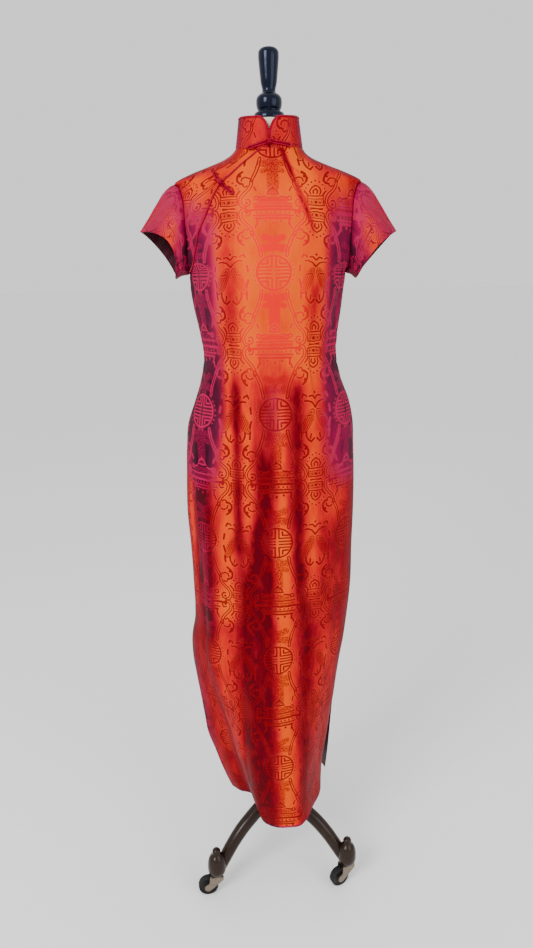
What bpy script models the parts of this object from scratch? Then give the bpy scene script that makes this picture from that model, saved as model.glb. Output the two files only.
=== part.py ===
"""Short-sleeved brocade cheongsam on a limbless dress form with a castered tripod stand.

Metres, +Z up, the dress faces -Y and +X is the wearer's left. The stand's pole rises at
(AXIS_X, AXIS_Y); every piece hangs from an empty there, so the tables below are measured
from the pole. The origin is on the floor, under the middle of the whole object's box.
"""
import math

import bmesh
import bpy
import numpy as np
from mathutils import Matrix, Vector

COLLECTION = "cheongsam_on_dress_form"
AXIS_X = 0.0045               # pole axis in the part's frame
AXIS_Y = -0.0301

CLOTH = 0.0014                # wall of the lined silk
COLLAR_WALL = 0.0020          # stiffened stand collar
GAP = 0.0003                  # between pieces that touch
SEAM = 0.0008                 # between panel edges, which lean into each other
UNDERLAP_DROP = 0.0032        # the under-front lies this far below the front's outer face
UNDERLAP_WIDTH = 0.016        # how far it runs on under the front
UNDERLAP_RISE = (0.012, 0.040)         # past the opening it comes up level over this distance

HEM_Z = 0.174
SLIT_TOP_Z = 0.62
HEM_BLEND_Z = 0.70            # the skirt leaves its body section for the hem's plan below this
FRONT_COLUMNS = 22
BACK_COLUMNS = 18
SLEEVE_STEPS = 2              # columns for each edge of the armhole

# One row a level of the tube of body and skirt: side seams and middle front and back.
BODY_COLUMNS = ("z", "right_x", "left_x", "front_y", "back_y")
BODY_ROWS = (
    (HEM_Z, -0.104, 0.099, -0.104, 0.150),
    (0.200, -0.114, 0.099, -0.104, 0.149),
    (0.240, -0.127, 0.100, -0.105, 0.146),
    (0.283, -0.139, 0.104, -0.106, 0.142),
    (0.330, -0.153, 0.111, -0.107, 0.138),
    (0.380, -0.159, 0.117, -0.108, 0.134),
    (0.430, -0.165, 0.124, -0.109, 0.130),
    (0.484, -0.172, 0.130, -0.110, 0.127),
    (0.530, -0.177, 0.136, -0.111, 0.124),
    (0.575, -0.177, 0.143, -0.112, 0.122),
    (SLIT_TOP_Z, -0.169, 0.148, -0.113, 0.121),
    (0.700, -0.168, 0.155, -0.114, 0.119),
    (0.780, -0.170, 0.156, -0.115, 0.118),
    (0.860, -0.174, 0.158, -0.115, 0.118),
    (0.930, -0.172, 0.158, -0.113, 0.117),
    (0.990, -0.169, 0.156, -0.110, 0.110),
    (1.035, -0.164, 0.154, -0.106, 0.101),
    (1.075, -0.150, 0.146, -0.102, 0.091),
    (1.115, -0.137, 0.131, -0.098, 0.082),
    (1.160, -0.130, 0.121, -0.095, 0.078),
    (1.205, -0.135, 0.123, -0.101, 0.081),
    (1.250, -0.144, 0.129, -0.113, 0.091),
    (1.285, -0.149, 0.133, -0.122, 0.099),
    (1.299, -0.150, 0.135, -0.124, 0.102),
    (1.312, -0.150, 0.136, -0.125, 0.104),
)

# Above the underarm each level bends over the shoulder: the armhole edge, then the shoulder
# seam, then the neck. turn is how far round the section the panel's edge stands, in degrees.
UPPER_COLUMNS = ("mid_z", "mid_y", "half_width", "side_y", "side_z", "turn")
UPPER_FRONT = (
    (1.335, -0.124, 0.145, -0.028, 1.323, 80.0),
    (1.362, -0.117, 0.146, -0.045, 1.348, 70.0),
    (1.390, -0.107, 0.146, -0.050, 1.378, 66.0),
    (1.415, -0.098, 0.147, -0.048, 1.408, 66.0),
    (1.438, -0.090, 0.150, -0.038, 1.437, 72.0),
    (1.456, -0.083, 0.157, -0.020, 1.457, 80.0),
    (1.469, -0.078, 0.164, 0.000, 1.467, 90.0),
    (1.479, -0.074, 0.136, 0.000, 1.4800, 90.0),
    (1.489, -0.070, 0.107, 0.000, 1.4905, 90.0),
    (1.498, -0.066, 0.081, 0.000, 1.5010, 90.0),
    (1.507, -0.0635, 0.066, 0.000, 1.5105, 90.0),
    (1.514, -0.062, 0.059, 0.000, 1.519, 90.0),
)
UPPER_BACK = (
    (1.337, 0.107, 0.145, 0.030, 1.323, 80.0),
    (1.366, 0.109, 0.148, 0.048, 1.348, 68.0),
    (1.396, 0.108, 0.150, 0.055, 1.378, 62.0),
    (1.424, 0.105, 0.151, 0.053, 1.408, 62.0),
    (1.449, 0.100, 0.154, 0.042, 1.437, 70.0),
    (1.470, 0.094, 0.159, 0.022, 1.457, 80.0),
    (1.487, 0.088, 0.164, 0.000, 1.467, 90.0),
    (1.500, 0.081, 0.136, 0.000, 1.4800, 90.0),
    (1.511, 0.074, 0.107, 0.000, 1.4905, 90.0),
    (1.520, 0.068, 0.081, 0.000, 1.5010, 90.0),
    (1.528, 0.063, 0.066, 0.000, 1.5105, 90.0),
    (1.535, 0.060, 0.059, 0.000, 1.519, 90.0),
)
UPPER_CENTRE_X = -0.004       # the shoulders sit this far off the pole, the neck less
NECK_CENTRE_X = -0.001

# The hem seen from above, from the right side seam round to the left one (x, y).
HEM_FRONT = ((-0.104, 0.027), (-0.084, 0.010), (-0.062, 0.002), (-0.047, -0.045), (-0.028, -0.092),
             (-0.006, -0.104), (0.022, -0.105), (0.045, -0.101), (0.062, -0.080), (0.078, -0.040),
             (0.094, -0.004), (0.099, 0.017))
HEM_BACK = ((-0.108, 0.060), (-0.092, 0.104), (-0.058, 0.138), (-0.022, 0.132), (0.018, 0.150),
            (0.060, 0.142), (0.096, 0.124), (0.115, 0.0875))
# The back skirt's own side edges below the slits.
BACK_EDGE_COLUMNS = ("z", "right_x", "left_x")
BACK_EDGES = ((HEM_Z, -0.106, 0.115), (0.240, -0.113, 0.118), (0.330, -0.130, 0.121),
              (0.430, -0.152, 0.126), (0.530, -0.170, 0.137), (SLIT_TOP_Z, -0.169, 0.148))

# Creases as shallow troughs (depth > 0) or ridges: place s round the panel, -1 and 1 at its
# seams, at the upper and the lower end, half-width in s, and depth in metres.
FOLD_COLUMNS = ("s_top", "z_top", "s_low", "z_low", "half_width", "depth")
FRONT_FOLDS = (
    (-0.42, 1.27, -0.36, 0.99, 0.045, 0.0030),
    (0.44, 1.27, 0.38, 0.99, 0.045, 0.0030),
    (-0.74, 1.31, -0.62, 1.15, 0.055, 0.0028),
    (0.76, 1.31, 0.64, 1.15, 0.055, 0.0028),
    (0.12, 1.51, 0.34, 1.39, 0.060, 0.0030),
    (-0.30, 1.05, -0.34, 0.62, 0.075, 0.0060),
    (-0.50, 0.95, -0.56, 0.40, 0.090, -0.0060),
    (-0.12, 0.90, -0.26, 0.24, 0.070, 0.0070),
    (0.06, 0.80, 0.10, 0.22, 0.080, -0.0050),
    (0.30, 0.92, 0.33, 0.30, 0.070, 0.0050),
)
BACK_FOLDS = (
    (-0.40, 1.27, -0.38, 1.00, 0.050, 0.0030),
    (0.40, 1.27, 0.38, 1.00, 0.050, 0.0030),
    (-0.34, 0.95, -0.30, 0.30, 0.080, 0.0055),
    (0.10, 0.90, 0.04, 0.26, 0.080, 0.0050),
    (0.46, 0.95, 0.52, 0.34, 0.080, -0.0050),
)

# The slanting opening on the wearer's right, from the side seam up to the collar.
OPENING_COLUMNS = ("z", "x")
OPENING = ((1.250, -0.144), (1.285, -0.1485), (1.299, -0.1485), (1.312, -0.1460), (1.335, -0.1375),
           (1.362, -0.1310), (1.390, -0.1230), (1.415, -0.1080), (1.438, -0.0960), (1.456, -0.0830),
           (1.469, -0.0690), (1.479, -0.0570), (1.489, -0.0450), (1.498, -0.0330), (1.507, -0.0220),
           (1.514, -0.0134))
OPENING_INNER_S = 0.2         # the opening never stands further round the front than this

# Cuffs: the outer top point, the lowest point under the arm, and how far the front and back
# edges bow in towards the body.
SLEEVE_COLUMNS = ("name", "side", "top_x", "top_z", "low_x", "low_z", "bow_front", "bow_back")
SLEEVES = (
    ("sleeve_right", -1, -0.2345, 1.384, -0.1760, 1.303, 0.034, 0.003),
    ("sleeve_left", 1, 0.2255, 1.379, 0.1560, 1.300, 0.012, -0.002),
)
CUFF_DEPTH = 0.055            # half the cuff's opening, front to back
# Share of the way from the armhole to the cuff, and how far the eased sleeve cap swells there.
SLEEVE_ROWS = ((0.0, 0.0), (0.12, 0.0100), (0.28, 0.0160), (0.50, 0.0120), (0.76, 0.0040), (1.0, 0.0))
CAP_SWELL = (0.60, -0.45, 0.80)        # its direction: away from the body, to the front, up

COLLAR_BASE = {"half_width": 0.0592, "front_y": -0.0622, "back_y": 0.0602}
COLLAR_TOP = {"half_width": 0.0530, "front_y": -0.0600, "back_y": 0.0560}
COLLAR_FRONT_Z = (1.5145, 1.5595)      # base and top at the middle front
COLLAR_SIDE_Z = (1.5195, 1.5655)
COLLAR_BACK_Z = (1.5355, 1.5760)
COLLAR_FULL = COLLAR_SIDE_Z[1] - COLLAR_SIDE_Z[0]
COLLAR_CENTRE_X = -0.001
COLLAR_CORNER_POINTS = 6
COLLAR_COLUMNS = 23           # round the neck, between the corners
COLLAR_STEP = 0.10            # radians from a corner to the first of them
COLLAR_SHARES = (0.0, 0.35, 0.7, 1.0)  # rows up the collar
COLLAR_END = 0.0034           # each end stops this far from the middle, to leave its piping room
NOTCH_WIDTH = 0.012           # rounded collar corner, along and down
NOTCH_DROP = 0.027
PIPING_R = 0.0014
OPENING_PIPING_R = 0.0013
PIPING_PROUD = 0.0008         # the opening's piping stands out from the panel's face

CORD_R = 0.00115              # frog cord
CORD_SPREAD = 0.0013          # each cord of an arm lies this far from the arm's middle
KNOT_R = 0.0040
ARM_LIFT = CORD_R + 0.0007    # from the cloth's face to the cord's middle
ARM_ROOT = KNOT_R + 0.0014    # an arm leaves the knot this far from its middle
ARM_LANDING = 0.0085          # and reaches the cloth here
ARM_NOSE = 0.0008             # the loop at an arm's end reaches this much further
COLLAR_FROG_Z = 1.5225
COLLAR_FROG_ARMS = (("arm_right", -1, 0.0245, 0.0045), ("arm_left", 1, 0.0245, 0.0030))  # side, reach, fall
CHEST_FROG_PLACE = (-0.0835, 1.4565)                 # x, z on the opening
CHEST_KNOT_LIFT = 0.0024
# Reach in x and z, and whether the arm lies on the under-front.
CHEST_FROG_ARMS = (("arm_upper", -0.0118, 0.0180, True), ("arm_lower", 0.0200, -0.0175, False))

FORM_BOTTOM_Z = 0.800
FORM_EASE_COLUMNS = ("z", "ease")      # how far the form stays inside the dress's outer face
FORM_EASE = ((0.80, 0.0150), (0.95, 0.0120), (1.05, 0.0110), (1.16, 0.0100), (1.25, 0.0085),
             (1.33, 0.0080), (1.42, 0.0072), (1.467, 0.0033), (1.500, 0.0025), (1.520, 0.0042))
FORM_FRONT_EASE = 0.0042      # more over the chest, where the under-front lies below the front
FORM_NECK_COLUMNS = ("z", "half_width", "front_y", "back_y")
FORM_NECK = ((1.530, 0.0528, -0.0555, 0.0540), (1.545, 0.0500, -0.0535, 0.0515),
             (1.558, 0.0480, -0.0515, 0.0500), (1.5622, 0.0450, -0.0480, 0.0470))
FORM_NECK_TILT = 0.008        # the neck leans up to the back by this much where it leaves the shoulders
FORM_SIDES = 28

# Turned pieces are profiles of (radius, z), from the top down the outer side.
CAP_BOTTOM_Z = FORM_NECK[-1][0] + GAP
CAP_PROFILE = ((0.0, 1.6797), (0.0075, 1.6790), (0.0128, 1.6765), (0.0155, 1.6720), (0.0158, 1.6670),
               (0.0150, 1.6520), (0.0132, 1.6260), (0.0119, 1.6085), (0.0160, 1.6060), (0.0198, 1.6010),
               (0.0215, 1.5930), (0.0203, 1.5850), (0.0185, 1.5800), (0.0240, 1.5770), (0.0260, 1.5720),
               (0.0258, 1.5660), (0.0245, CAP_BOTTOM_Z), (0.0, CAP_BOTTOM_Z))

HUB_PROFILE = ((0.0, 0.2200), (0.0190, 0.2200), (0.0250, 0.2120), (0.0320, 0.2000), (0.0340, 0.1900),
               (0.0340, 0.1480), (0.0300, 0.1380), (0.0180, 0.1300), (0.0080, 0.1240), (0.0, 0.1240))
HUB_R = 0.0340
HUB_ROOM = 0.0005             # between the hub and the ends of the legs
TUBE_R = 0.0140
TUBE_BORE = 0.0107
TUBE_TOP_Z = 0.560
CLAMP_R = 0.0185              # boss at the tube's mouth
CLAMP_HEIGHT = 0.026
CLAMP_CHAMFER = 0.003
POLE_R = 0.0102
POLE_BOTTOM_Z = 0.240
POLE_SIDES = 24

LEG_ANGLES = (-55.0, 65.0, 185.0)      # from the front, positive towards the wearer's left
FOOT_RADIUS = 0.166
LEG_COLUMNS = ("out", "z", "thickness")     # distance from the pole, height, radius of the bar
LEG_ROUTE = ((0.020, 0.1745, 0.0155), (0.045, 0.1640, 0.0152), (0.072, 0.1480, 0.0150),
             (0.100, 0.1280, 0.0147), (0.124, 0.1040, 0.0142), (0.146, 0.0760, 0.0135),
             (0.158, 0.0580, 0.0120))
LEG_STEPS = 8
FOOT_BOTTOM_Z = 0.050
SOCKET_TOP_Z = 0.070          # bore for the caster's stem
SOCKET_R = 0.0046
BULB_PROFILE = ((0.0, 0.1140), (0.0045, 0.1132), (0.0080, 0.1100), (0.0090, 0.1060), (0.0082, 0.1020),
                (0.0100, 0.0990), (0.0150, 0.0930), (0.0185, 0.0830), (0.0198, 0.0700), (0.0190, 0.0580),
                (0.0172, 0.0530), (0.0155, FOOT_BOTTOM_Z), (SOCKET_R, FOOT_BOTTOM_Z),
                (SOCKET_R, SOCKET_TOP_Z), (0.0, SOCKET_TOP_Z))

CASTER_TURNS = (8.0, 28.0, -14.0)      # each caster's trail, from -X, in degrees
TRAIL = 0.0200
WHEEL_R = 0.0215
WHEEL_WIDTH = 0.0150
AXLE_R = 0.0030
STEM_R = 0.0040
FORK_TOP_Z = FOOT_BOTTOM_Z - GAP
FORK_EAR_R = 0.0085           # round end of the fork's cheeks, about the axle
FORK_EAR_POINTS = 10
CROWN = 0.0035                # thickness of the fork's top
FORK_HALF_WIDTH = 0.0115
SLOT_HALF_WIDTH = WHEEL_WIDTH / 2 + 0.0008
AXLE_END = 0.0008             # the axle's ends stand proud of the cheeks
HUB_FACE_R = 0.0080           # raised boss round the wheel's bore
WEB_R = 0.0160                # the wheel's sides are dished out to here
DISH = 0.0014
TREAD_ROUND = 0.0028


# ---------------------------------------------------------------- curves and sections

def smooth(knots, values, t):
    """Value at t on the smooth curve through the values at rising knots (Hermite, mean slopes)."""
    knots = np.asarray(knots, float)
    values = np.asarray(values, float)
    slopes = np.gradient(values, knots, axis=0)
    t = float(np.clip(t, knots[0], knots[-1]))
    i = int(min(np.searchsorted(knots, t, side="right") - 1, len(knots) - 2))
    span = knots[i + 1] - knots[i]
    u = (t - knots[i]) / span
    rise = u * u * (3 - 2 * u)
    leave = u * (1 - u) ** 2 * span
    arrive = u * u * (u - 1) * span
    return values[i] * (1 - rise) + values[i + 1] * rise + slopes[i] * leave + slopes[i + 1] * arrive


def ramp(value, start, end):
    """0 at start, 1 at end, smooth between."""
    u = min(max((value - start) / (end - start), 0.0), 1.0)
    return u * u * (3 - 2 * u)


def read_row(table, columns, z):
    """Named values of a table at z, smooth between its rows; its first column is z."""
    values = smooth([row[0] for row in table], [row[1:] for row in table], z)
    return dict(zip(columns[1:], values))


def plan_point(plan, s):
    """Point of a hem plan at s from -1 to 1, by its length."""
    points = np.asarray(plan, float)
    steps = np.linalg.norm(np.diff(points, axis=0), axis=1)
    knots = np.concatenate(([0.0], np.cumsum(steps)))
    return smooth(knots, points, (s + 1) / 2 * knots[-1])


def fold_shift(folds, s, z):
    """How far the creases push the cloth in at s and z."""
    shift = 0.0
    for row in folds:
        fold = dict(zip(FOLD_COLUMNS, row))
        along = (fold["z_top"] - z) / (fold["z_top"] - fold["z_low"])
        if 0.0 < along < 1.0:
            centre = fold["s_top"] + (fold["s_low"] - fold["s_top"]) * along
            fade = math.sin(math.pi * along) ** 0.7
            shift += fold["depth"] * fade * math.exp(-((s - centre) / fold["half_width"]) ** 2)
    return shift


def lower_section(z, s, front):
    """Outer face of the skirt and body below the underarm, on the front or the back.

    Returns the section's middle x and the point. Below the slits it turns into the hem's plan.
    """
    body_row = read_row(BODY_ROWS, BODY_COLUMNS, z)
    edges = body_row
    slit = min(max((SLIT_TOP_Z - z) / (SLIT_TOP_Z - HEM_Z), 0.0), 1.0) ** 2
    if front:
        mid_y = body_row["front_y"]
        plan = HEM_FRONT
        weight = ramp(z, HEM_BLEND_Z, HEM_Z)
    else:
        mid_y = body_row["back_y"]
        plan = HEM_BACK
        weight = slit
        if z < SLIT_TOP_Z:
            edges = read_row(BACK_EDGES, BACK_EDGE_COLUMNS, z)
    centre_x = (edges["right_x"] + edges["left_x"]) / 2
    half_width = (edges["left_x"] - edges["right_x"]) / 2
    hem_centre = (plan[0][0] + plan[-1][0]) / 2
    hem_half = (plan[-1][0] - plan[0][0]) / 2
    hem_x, hem_y = plan_point(plan, s)
    body = (math.sin(s * math.pi / 2), math.cos(s * math.pi / 2) * mid_y)
    hem = ((hem_x - hem_centre) / hem_half, hem_y)
    across = body[0] * (1 - weight) + hem[0] * weight
    edge_y = plan[0][1] + (plan[-1][1] - plan[0][1]) * (s + 1) / 2
    deep = body[1] * (1 - weight) + (hem[1] - edge_y) * weight + edge_y * slit
    return centre_x, centre_x + half_width * across, deep, z


def upper_section(row, s, centre_x):
    """Outer face above the underarm, on one level of an upper table, after its middle x."""
    level = dict(zip(UPPER_COLUMNS, row))
    turn = math.radians(level["turn"])
    across = math.sin(turn * s) / math.sin(turn)
    inward = (math.cos(turn * s) - math.cos(turn)) / (1 - math.cos(turn))
    lift = math.sin(s * math.pi / 2) ** 2
    y = level["side_y"] + (level["mid_y"] - level["side_y"]) * inward
    z = level["mid_z"] + (level["side_z"] - level["mid_z"]) * lift
    return centre_x, centre_x + level["half_width"] * across, y, z


UNDERARM = len(BODY_ROWS) - 1          # level numbers: 0 at the hem, UNDERARM, NECK at the top
NECK = UNDERARM + len(UPPER_FRONT)
SHOULDER_TIP = UNDERARM + 7
LEAST_RADIUS = 0.02                    # keeps a shift small near a section's middle
SHOULDER_FALL = 0.7                    # share of a drop that goes down where the shoulders slope


def neck_shift(share):
    """Sideways shift of the middle over the last third of the way from the underarm to the neck."""
    return (NECK_CENTRE_X - UPPER_CENTRE_X) * max(share * 3 - 2, 0.0)


def body_point(level, s, front, drop=0.0):
    """Point on the dress's outer face at a whole level number, moved in by drop."""
    if level <= UNDERARM:
        centre_x, x, y, z = lower_section(BODY_ROWS[level][0], s, front)
    else:
        rows = UPPER_FRONT if front else UPPER_BACK
        share = (level - UNDERARM) / (NECK - UNDERARM)
        centre = (BODY_ROWS[-1][1] + BODY_ROWS[-1][2]) / 2
        centre += (UPPER_CENTRE_X - centre) * min(share * 3, 1.0)
        centre += neck_shift(share)
        centre_x, x, y, z = upper_section(rows[level - UNDERARM - 1], s, centre)
    inward = fold_shift(FRONT_FOLDS if front else BACK_FOLDS, s, z) + drop
    away = Vector((x - centre_x, y))
    scale = 1 - inward / max(away.length, LEAST_RADIUS)
    slope = SHOULDER_FALL if level > SHOULDER_TIP else 0.0
    return Vector((centre_x + away.x * scale, away.y * scale, z - drop * slope))


def opening_s(level):
    """Where the front panel's slanting edge stands on a level, as s."""
    z = BODY_ROWS[level][0] if level <= UNDERARM else UPPER_FRONT[level - UNDERARM - 1][0]
    if z <= OPENING[0][0]:
        return -1.0
    x = read_row(OPENING, OPENING_COLUMNS, z)["x"]
    low = -1.0
    high = OPENING_INNER_S
    for _ in range(30):
        middle = (low + high) / 2
        if body_point(level, middle, True).x < x:
            low = middle
        else:
            high = middle
    return low


def under_drop(past_opening):
    """How deep the under-front lies below the front's face, by its distance past the opening."""
    return UNDERLAP_DROP * (1 - ramp(past_opening, *UNDERLAP_RISE))


def surface_at(x, z, under=False):
    """Outer face and its outward direction at a place on the upper front, seen from the front.

    With under set, it is the face of the under-front.
    """
    level = min(range(UNDERARM, NECK - 1), key=lambda i: abs(body_point(i, 0.0, True).z - z))
    best = None
    for lower in (level - 1, level):
        for s in np.linspace(-1.0, 1.0, 161):
            a = body_point(lower, s, True)
            b = body_point(lower + 1, s, True)
            u = (z - a.z) / (b.z - a.z)
            if 0.0 <= u <= 1.0:
                point = a.lerp(b, u)
                if best is None or abs(point.x - x) < abs(best[0].x - x):
                    side = body_point(lower, s + 0.05, True) - body_point(lower, s - 0.05, True)
                    best = (point, side.cross(b - a).normalized())
    point, out = best
    if under:
        opening_x = read_row(OPENING, OPENING_COLUMNS, z)["x"]
        point = point - Vector((point.x, point.y, 0.0)).normalized() * under_drop(opening_x - point.x)
    return point, out


# ---------------------------------------------------------------- making objects

def clear_scene():
    for thing in list(bpy.data.objects):
        bpy.data.objects.remove(thing, do_unlink=True)


def make_material(name, colour, roughness, metallic=0.0):
    material = bpy.data.materials.new(name)
    material.use_nodes = True
    shader = material.node_tree.nodes["Principled BSDF"]
    shader.inputs["Base Color"].default_value = (*colour, 1.0)
    shader.inputs["Roughness"].default_value = roughness
    shader.inputs["Metallic"].default_value = metallic
    return material


def add_object(name, data, collection, parent, material, smooth_angle=40.0):
    """New object for a mesh or a curve, hung from parent, with its own material."""
    thing = bpy.data.objects.new(name, data)
    collection.objects.link(thing)
    thing.parent = parent
    if material is not None and not data.materials:
        data.materials.append(material)
    if isinstance(data, bpy.types.Mesh):
        data.shade_smooth()
        data.set_sharp_from_angle(angle=math.radians(smooth_angle))
    return thing


def add_empty(name, collection, parent=None, place=(0.0, 0.0, 0.0), turn=0.0):
    empty = bpy.data.objects.new(name, None)
    empty.empty_display_size = 0.05
    collection.objects.link(empty)
    empty.parent = parent
    empty.location = place
    empty.rotation_euler = (0.0, 0.0, math.radians(turn))
    return empty


def grid_mesh(name, rows, closed=False):
    """Open sheet through rows of points, facing out when rows rise and points run to +X."""
    mesh = bpy.data.meshes.new(name)
    shape = bmesh.new()
    verts = [[shape.verts.new(point) for point in row] for row in rows]
    for lower, upper in zip(verts, verts[1:]):
        count = len(lower)
        for i in range(count if closed else count - 1):
            j = (i + 1) % count
            shape.faces.new((lower[i], lower[j], upper[j], upper[i]))
    shape.normal_update()
    shape.to_mesh(mesh)
    shape.free()
    return mesh


def add_wall(thing, thickness):
    """Give a sheet its thickness, inwards."""
    wall = thing.modifiers.new("wall", "SOLIDIFY")
    wall.thickness = thickness
    wall.offset = -1.0
    return thing


def loft_solid(name, rings):
    """Closed solid through rings of equal count, its ends flat."""
    mesh = grid_mesh(name, rings, closed=True)
    shape = bmesh.new()
    shape.from_mesh(mesh)
    shape.verts.ensure_lookup_table()
    count = len(rings[0])
    shape.faces.new([shape.verts[i] for i in reversed(range(count))])
    top = len(rings) * count
    shape.faces.new([shape.verts[i] for i in range(top - count, top)])
    bmesh.ops.recalc_face_normals(shape, faces=shape.faces)
    shape.to_mesh(mesh)
    shape.free()
    return mesh


def turned(name, profile, collection, parent, material, sides=32, closed=False):
    """Turned piece: a profile from the top down its outer side, swept round the axis."""
    mesh = bpy.data.meshes.new(name)
    shape = bmesh.new()
    verts = [shape.verts.new((radius, 0.0, height)) for radius, height in profile]
    for a, b in zip(verts, verts[1:]):
        shape.edges.new((a, b))
    if closed:
        shape.edges.new((verts[-1], verts[0]))
    shape.to_mesh(mesh)
    shape.free()
    thing = add_object(name, mesh, collection, parent, material)
    sweep = thing.modifiers.new("sweep", "SCREW")
    sweep.steps = sides
    sweep.render_steps = sides
    sweep.use_merge_vertices = True
    sweep.merge_threshold = 0.00001
    return thing


def tube(name, points, radius, collection, parent, material, radii=None):
    """Round cord or bar through points."""
    curve = bpy.data.curves.new(name, "CURVE")
    curve.dimensions = "3D"
    curve.bevel_depth = radius
    curve.bevel_resolution = 2
    curve.use_fill_caps = True
    line = curve.splines.new("POLY")
    line.points.add(len(points) - 1)
    for i, (knot, point) in enumerate(zip(line.points, points)):
        knot.co = (*point, 1.0)
        knot.radius = 1.0 if radii is None else radii[i] / radius
    return add_object(name, curve, collection, parent, material)


def as_mesh(thing):
    """Mesh object in place of a curve or of a mesh with modifiers, its caps welded."""
    bpy.context.view_layer.update()
    depsgraph = bpy.context.evaluated_depsgraph_get()
    mesh = bpy.data.meshes.new_from_object(thing.evaluated_get(depsgraph))
    shape = bmesh.new()
    shape.from_mesh(mesh)
    bmesh.ops.remove_doubles(shape, verts=shape.verts, dist=0.00001)
    bmesh.ops.recalc_face_normals(shape, faces=shape.faces)
    shape.to_mesh(mesh)
    shape.free()
    name = thing.name
    collection = thing.users_collection[0]
    parent = thing.parent
    local = thing.matrix_local.copy()
    bpy.data.objects.remove(thing, do_unlink=True)
    made = add_object(name, mesh, collection, parent, None)
    made.matrix_local = local
    return made


def combine(thing, other, operation):
    """Boolean of thing with other, made real; other is used up."""
    step = thing.modifiers.new(operation.lower(), "BOOLEAN")
    step.operation = operation
    step.solver = "EXACT"
    step.object = other
    made = as_mesh(thing)
    bpy.data.objects.remove(other, do_unlink=True)
    return made


def primitive(name, collection, parent, place, create, **settings):
    """Mesh object from one of bmesh's primitives."""
    mesh = bpy.data.meshes.new(name)
    shape = bmesh.new()
    create(shape, **settings)
    shape.to_mesh(mesh)
    shape.free()
    thing = add_object(name, mesh, collection, parent, None)
    thing.location = place
    return thing


# ---------------------------------------------------------------- the dress

def panel_rows(levels, s_range, front, columns, drop=None):
    """Rows of points between two edges given as s for each level."""
    rows = []
    for level in levels:
        start, end = s_range(level)
        row = []
        for i in range(columns + 1):
            s = start + (end - start) * i / columns
            row.append(body_point(level, s, front, drop(level, s) if drop else 0.0))
        rows.append(row)
    return rows


def trimmed(rows, right=SEAM / 2, left=SEAM / 2):
    """Rows with each end moved in along its own row, to leave the seam's gap."""
    for row in rows:
        row[0] = row[0] + (row[1] - row[0]).normalized() * right
        row[-1] = row[-1] + (row[-2] - row[-1]).normalized() * left
    return rows


def make_front_panel(collection, parent, silk):
    rows = panel_rows(range(NECK + 1), lambda level: (opening_s(level), 1.0), True, FRONT_COLUMNS)
    thing = add_object("front_panel", grid_mesh("front_panel", trimmed(rows)), collection, parent, silk, 60)
    return add_wall(thing, CLOTH)


def make_under_front(collection, parent, silk):
    """The small front under the opening, from the right side seam to the collar."""
    def edges(level):
        half_width = (body_point(level, 1.0, True).x - body_point(level, -1.0, True).x) / 2
        return -1.0, opening_s(level) + UNDERLAP_WIDTH / half_width

    def drop(level, s):
        edge = body_point(level, opening_s(level), True).x
        return under_drop(edge - body_point(level, s, True).x)

    rows = panel_rows(range(UNDERARM - 2, NECK + 1), edges, True, FRONT_COLUMNS // 2, drop)
    thing = add_object("under_front", grid_mesh("under_front", trimmed(rows)), collection, parent, silk, 60)
    return add_wall(thing, CLOTH)


def make_back_panel(collection, parent, silk):
    rows = panel_rows(range(NECK + 1), lambda level: (1.0, -1.0), False, BACK_COLUMNS)
    thing = add_object("back_panel", grid_mesh("back_panel", trimmed(rows)), collection, parent, silk, 60)
    return add_wall(thing, CLOTH)


def armhole(side):
    """Armhole edge from the shoulder tip down the front and up the back, in straight steps."""
    front = [body_point(level, side, True) for level in range(SHOULDER_TIP, UNDERARM - 1, -1)]
    back = [body_point(level, side, False) for level in range(UNDERARM, SHOULDER_TIP + 1)]
    corners = front + back[1:]
    loop = []
    for a, b in zip(corners, corners[1:]):
        loop += [a.lerp(b, step / SLEEVE_STEPS) for step in range(SLEEVE_STEPS)]
    return loop


def make_sleeve(row, collection, parent, silk):
    """Short set-in sleeve, lofted from the armhole to a cuff that hangs open."""
    cut = dict(zip(SLEEVE_COLUMNS, row))
    side = cut["side"]
    loop = [point + Vector((side * SEAM * 1.5, 0.0, 0.0)) for point in armhole(side)]
    top = Vector((cut["top_x"], 0.0, cut["top_z"]))
    low = Vector((cut["low_x"], 0.0, cut["low_z"]))
    chord = (low - top).normalized()
    inward = Vector((-chord.z * -side, 0.0, chord.x * -side))
    rings = []
    for share, rise in SLEEVE_ROWS:
        ring = []
        for i, start in enumerate(loop):
            angle = 2 * math.pi * i / len(loop)
            over = max(math.cos(angle), 0.0)
            bow = cut["bow_front"] if math.sin(angle) > 0 else cut["bow_back"]
            cuff = top.lerp(low, (1 - math.cos(angle)) / 2)
            cuff += inward * (bow * math.sin(angle) ** 2)
            cuff.y = -CUFF_DEPTH * math.sin(angle)
            swell = Vector((side * CAP_SWELL[0] * over, CAP_SWELL[1] * math.sin(angle), CAP_SWELL[2] * over))
            ring.append(start.lerp(cuff, share) + swell * rise)
        rings.append(ring if side < 0 else ring[::-1])
    thing = add_object(cut["name"], grid_mesh(cut["name"], rings, closed=True), collection, parent, silk, 60)
    return add_wall(thing, CLOTH)


def collar_point(angle, height, out=0.0):
    """Outer face of the stand collar: angle from the middle front, height 0 to 1."""
    half_width = COLLAR_BASE["half_width"] * (1 - height) + COLLAR_TOP["half_width"] * height + out
    deep_key = "front_y" if math.cos(angle) > 0 else "back_y"
    deep = abs(COLLAR_BASE[deep_key] * (1 - height) + COLLAR_TOP[deep_key] * height) + out
    toward = [COLLAR_FRONT_Z, COLLAR_BACK_Z][math.cos(angle) < 0]
    mix = math.cos(angle) ** 2
    base = COLLAR_SIDE_Z[0] + (toward[0] - COLLAR_SIDE_Z[0]) * mix
    top = COLLAR_SIDE_Z[1] + (toward[1] - COLLAR_SIDE_Z[1]) * mix
    return Vector((COLLAR_CENTRE_X + half_width * math.sin(angle), -deep * math.cos(angle),
                   base + (top - base) * height))


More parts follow.
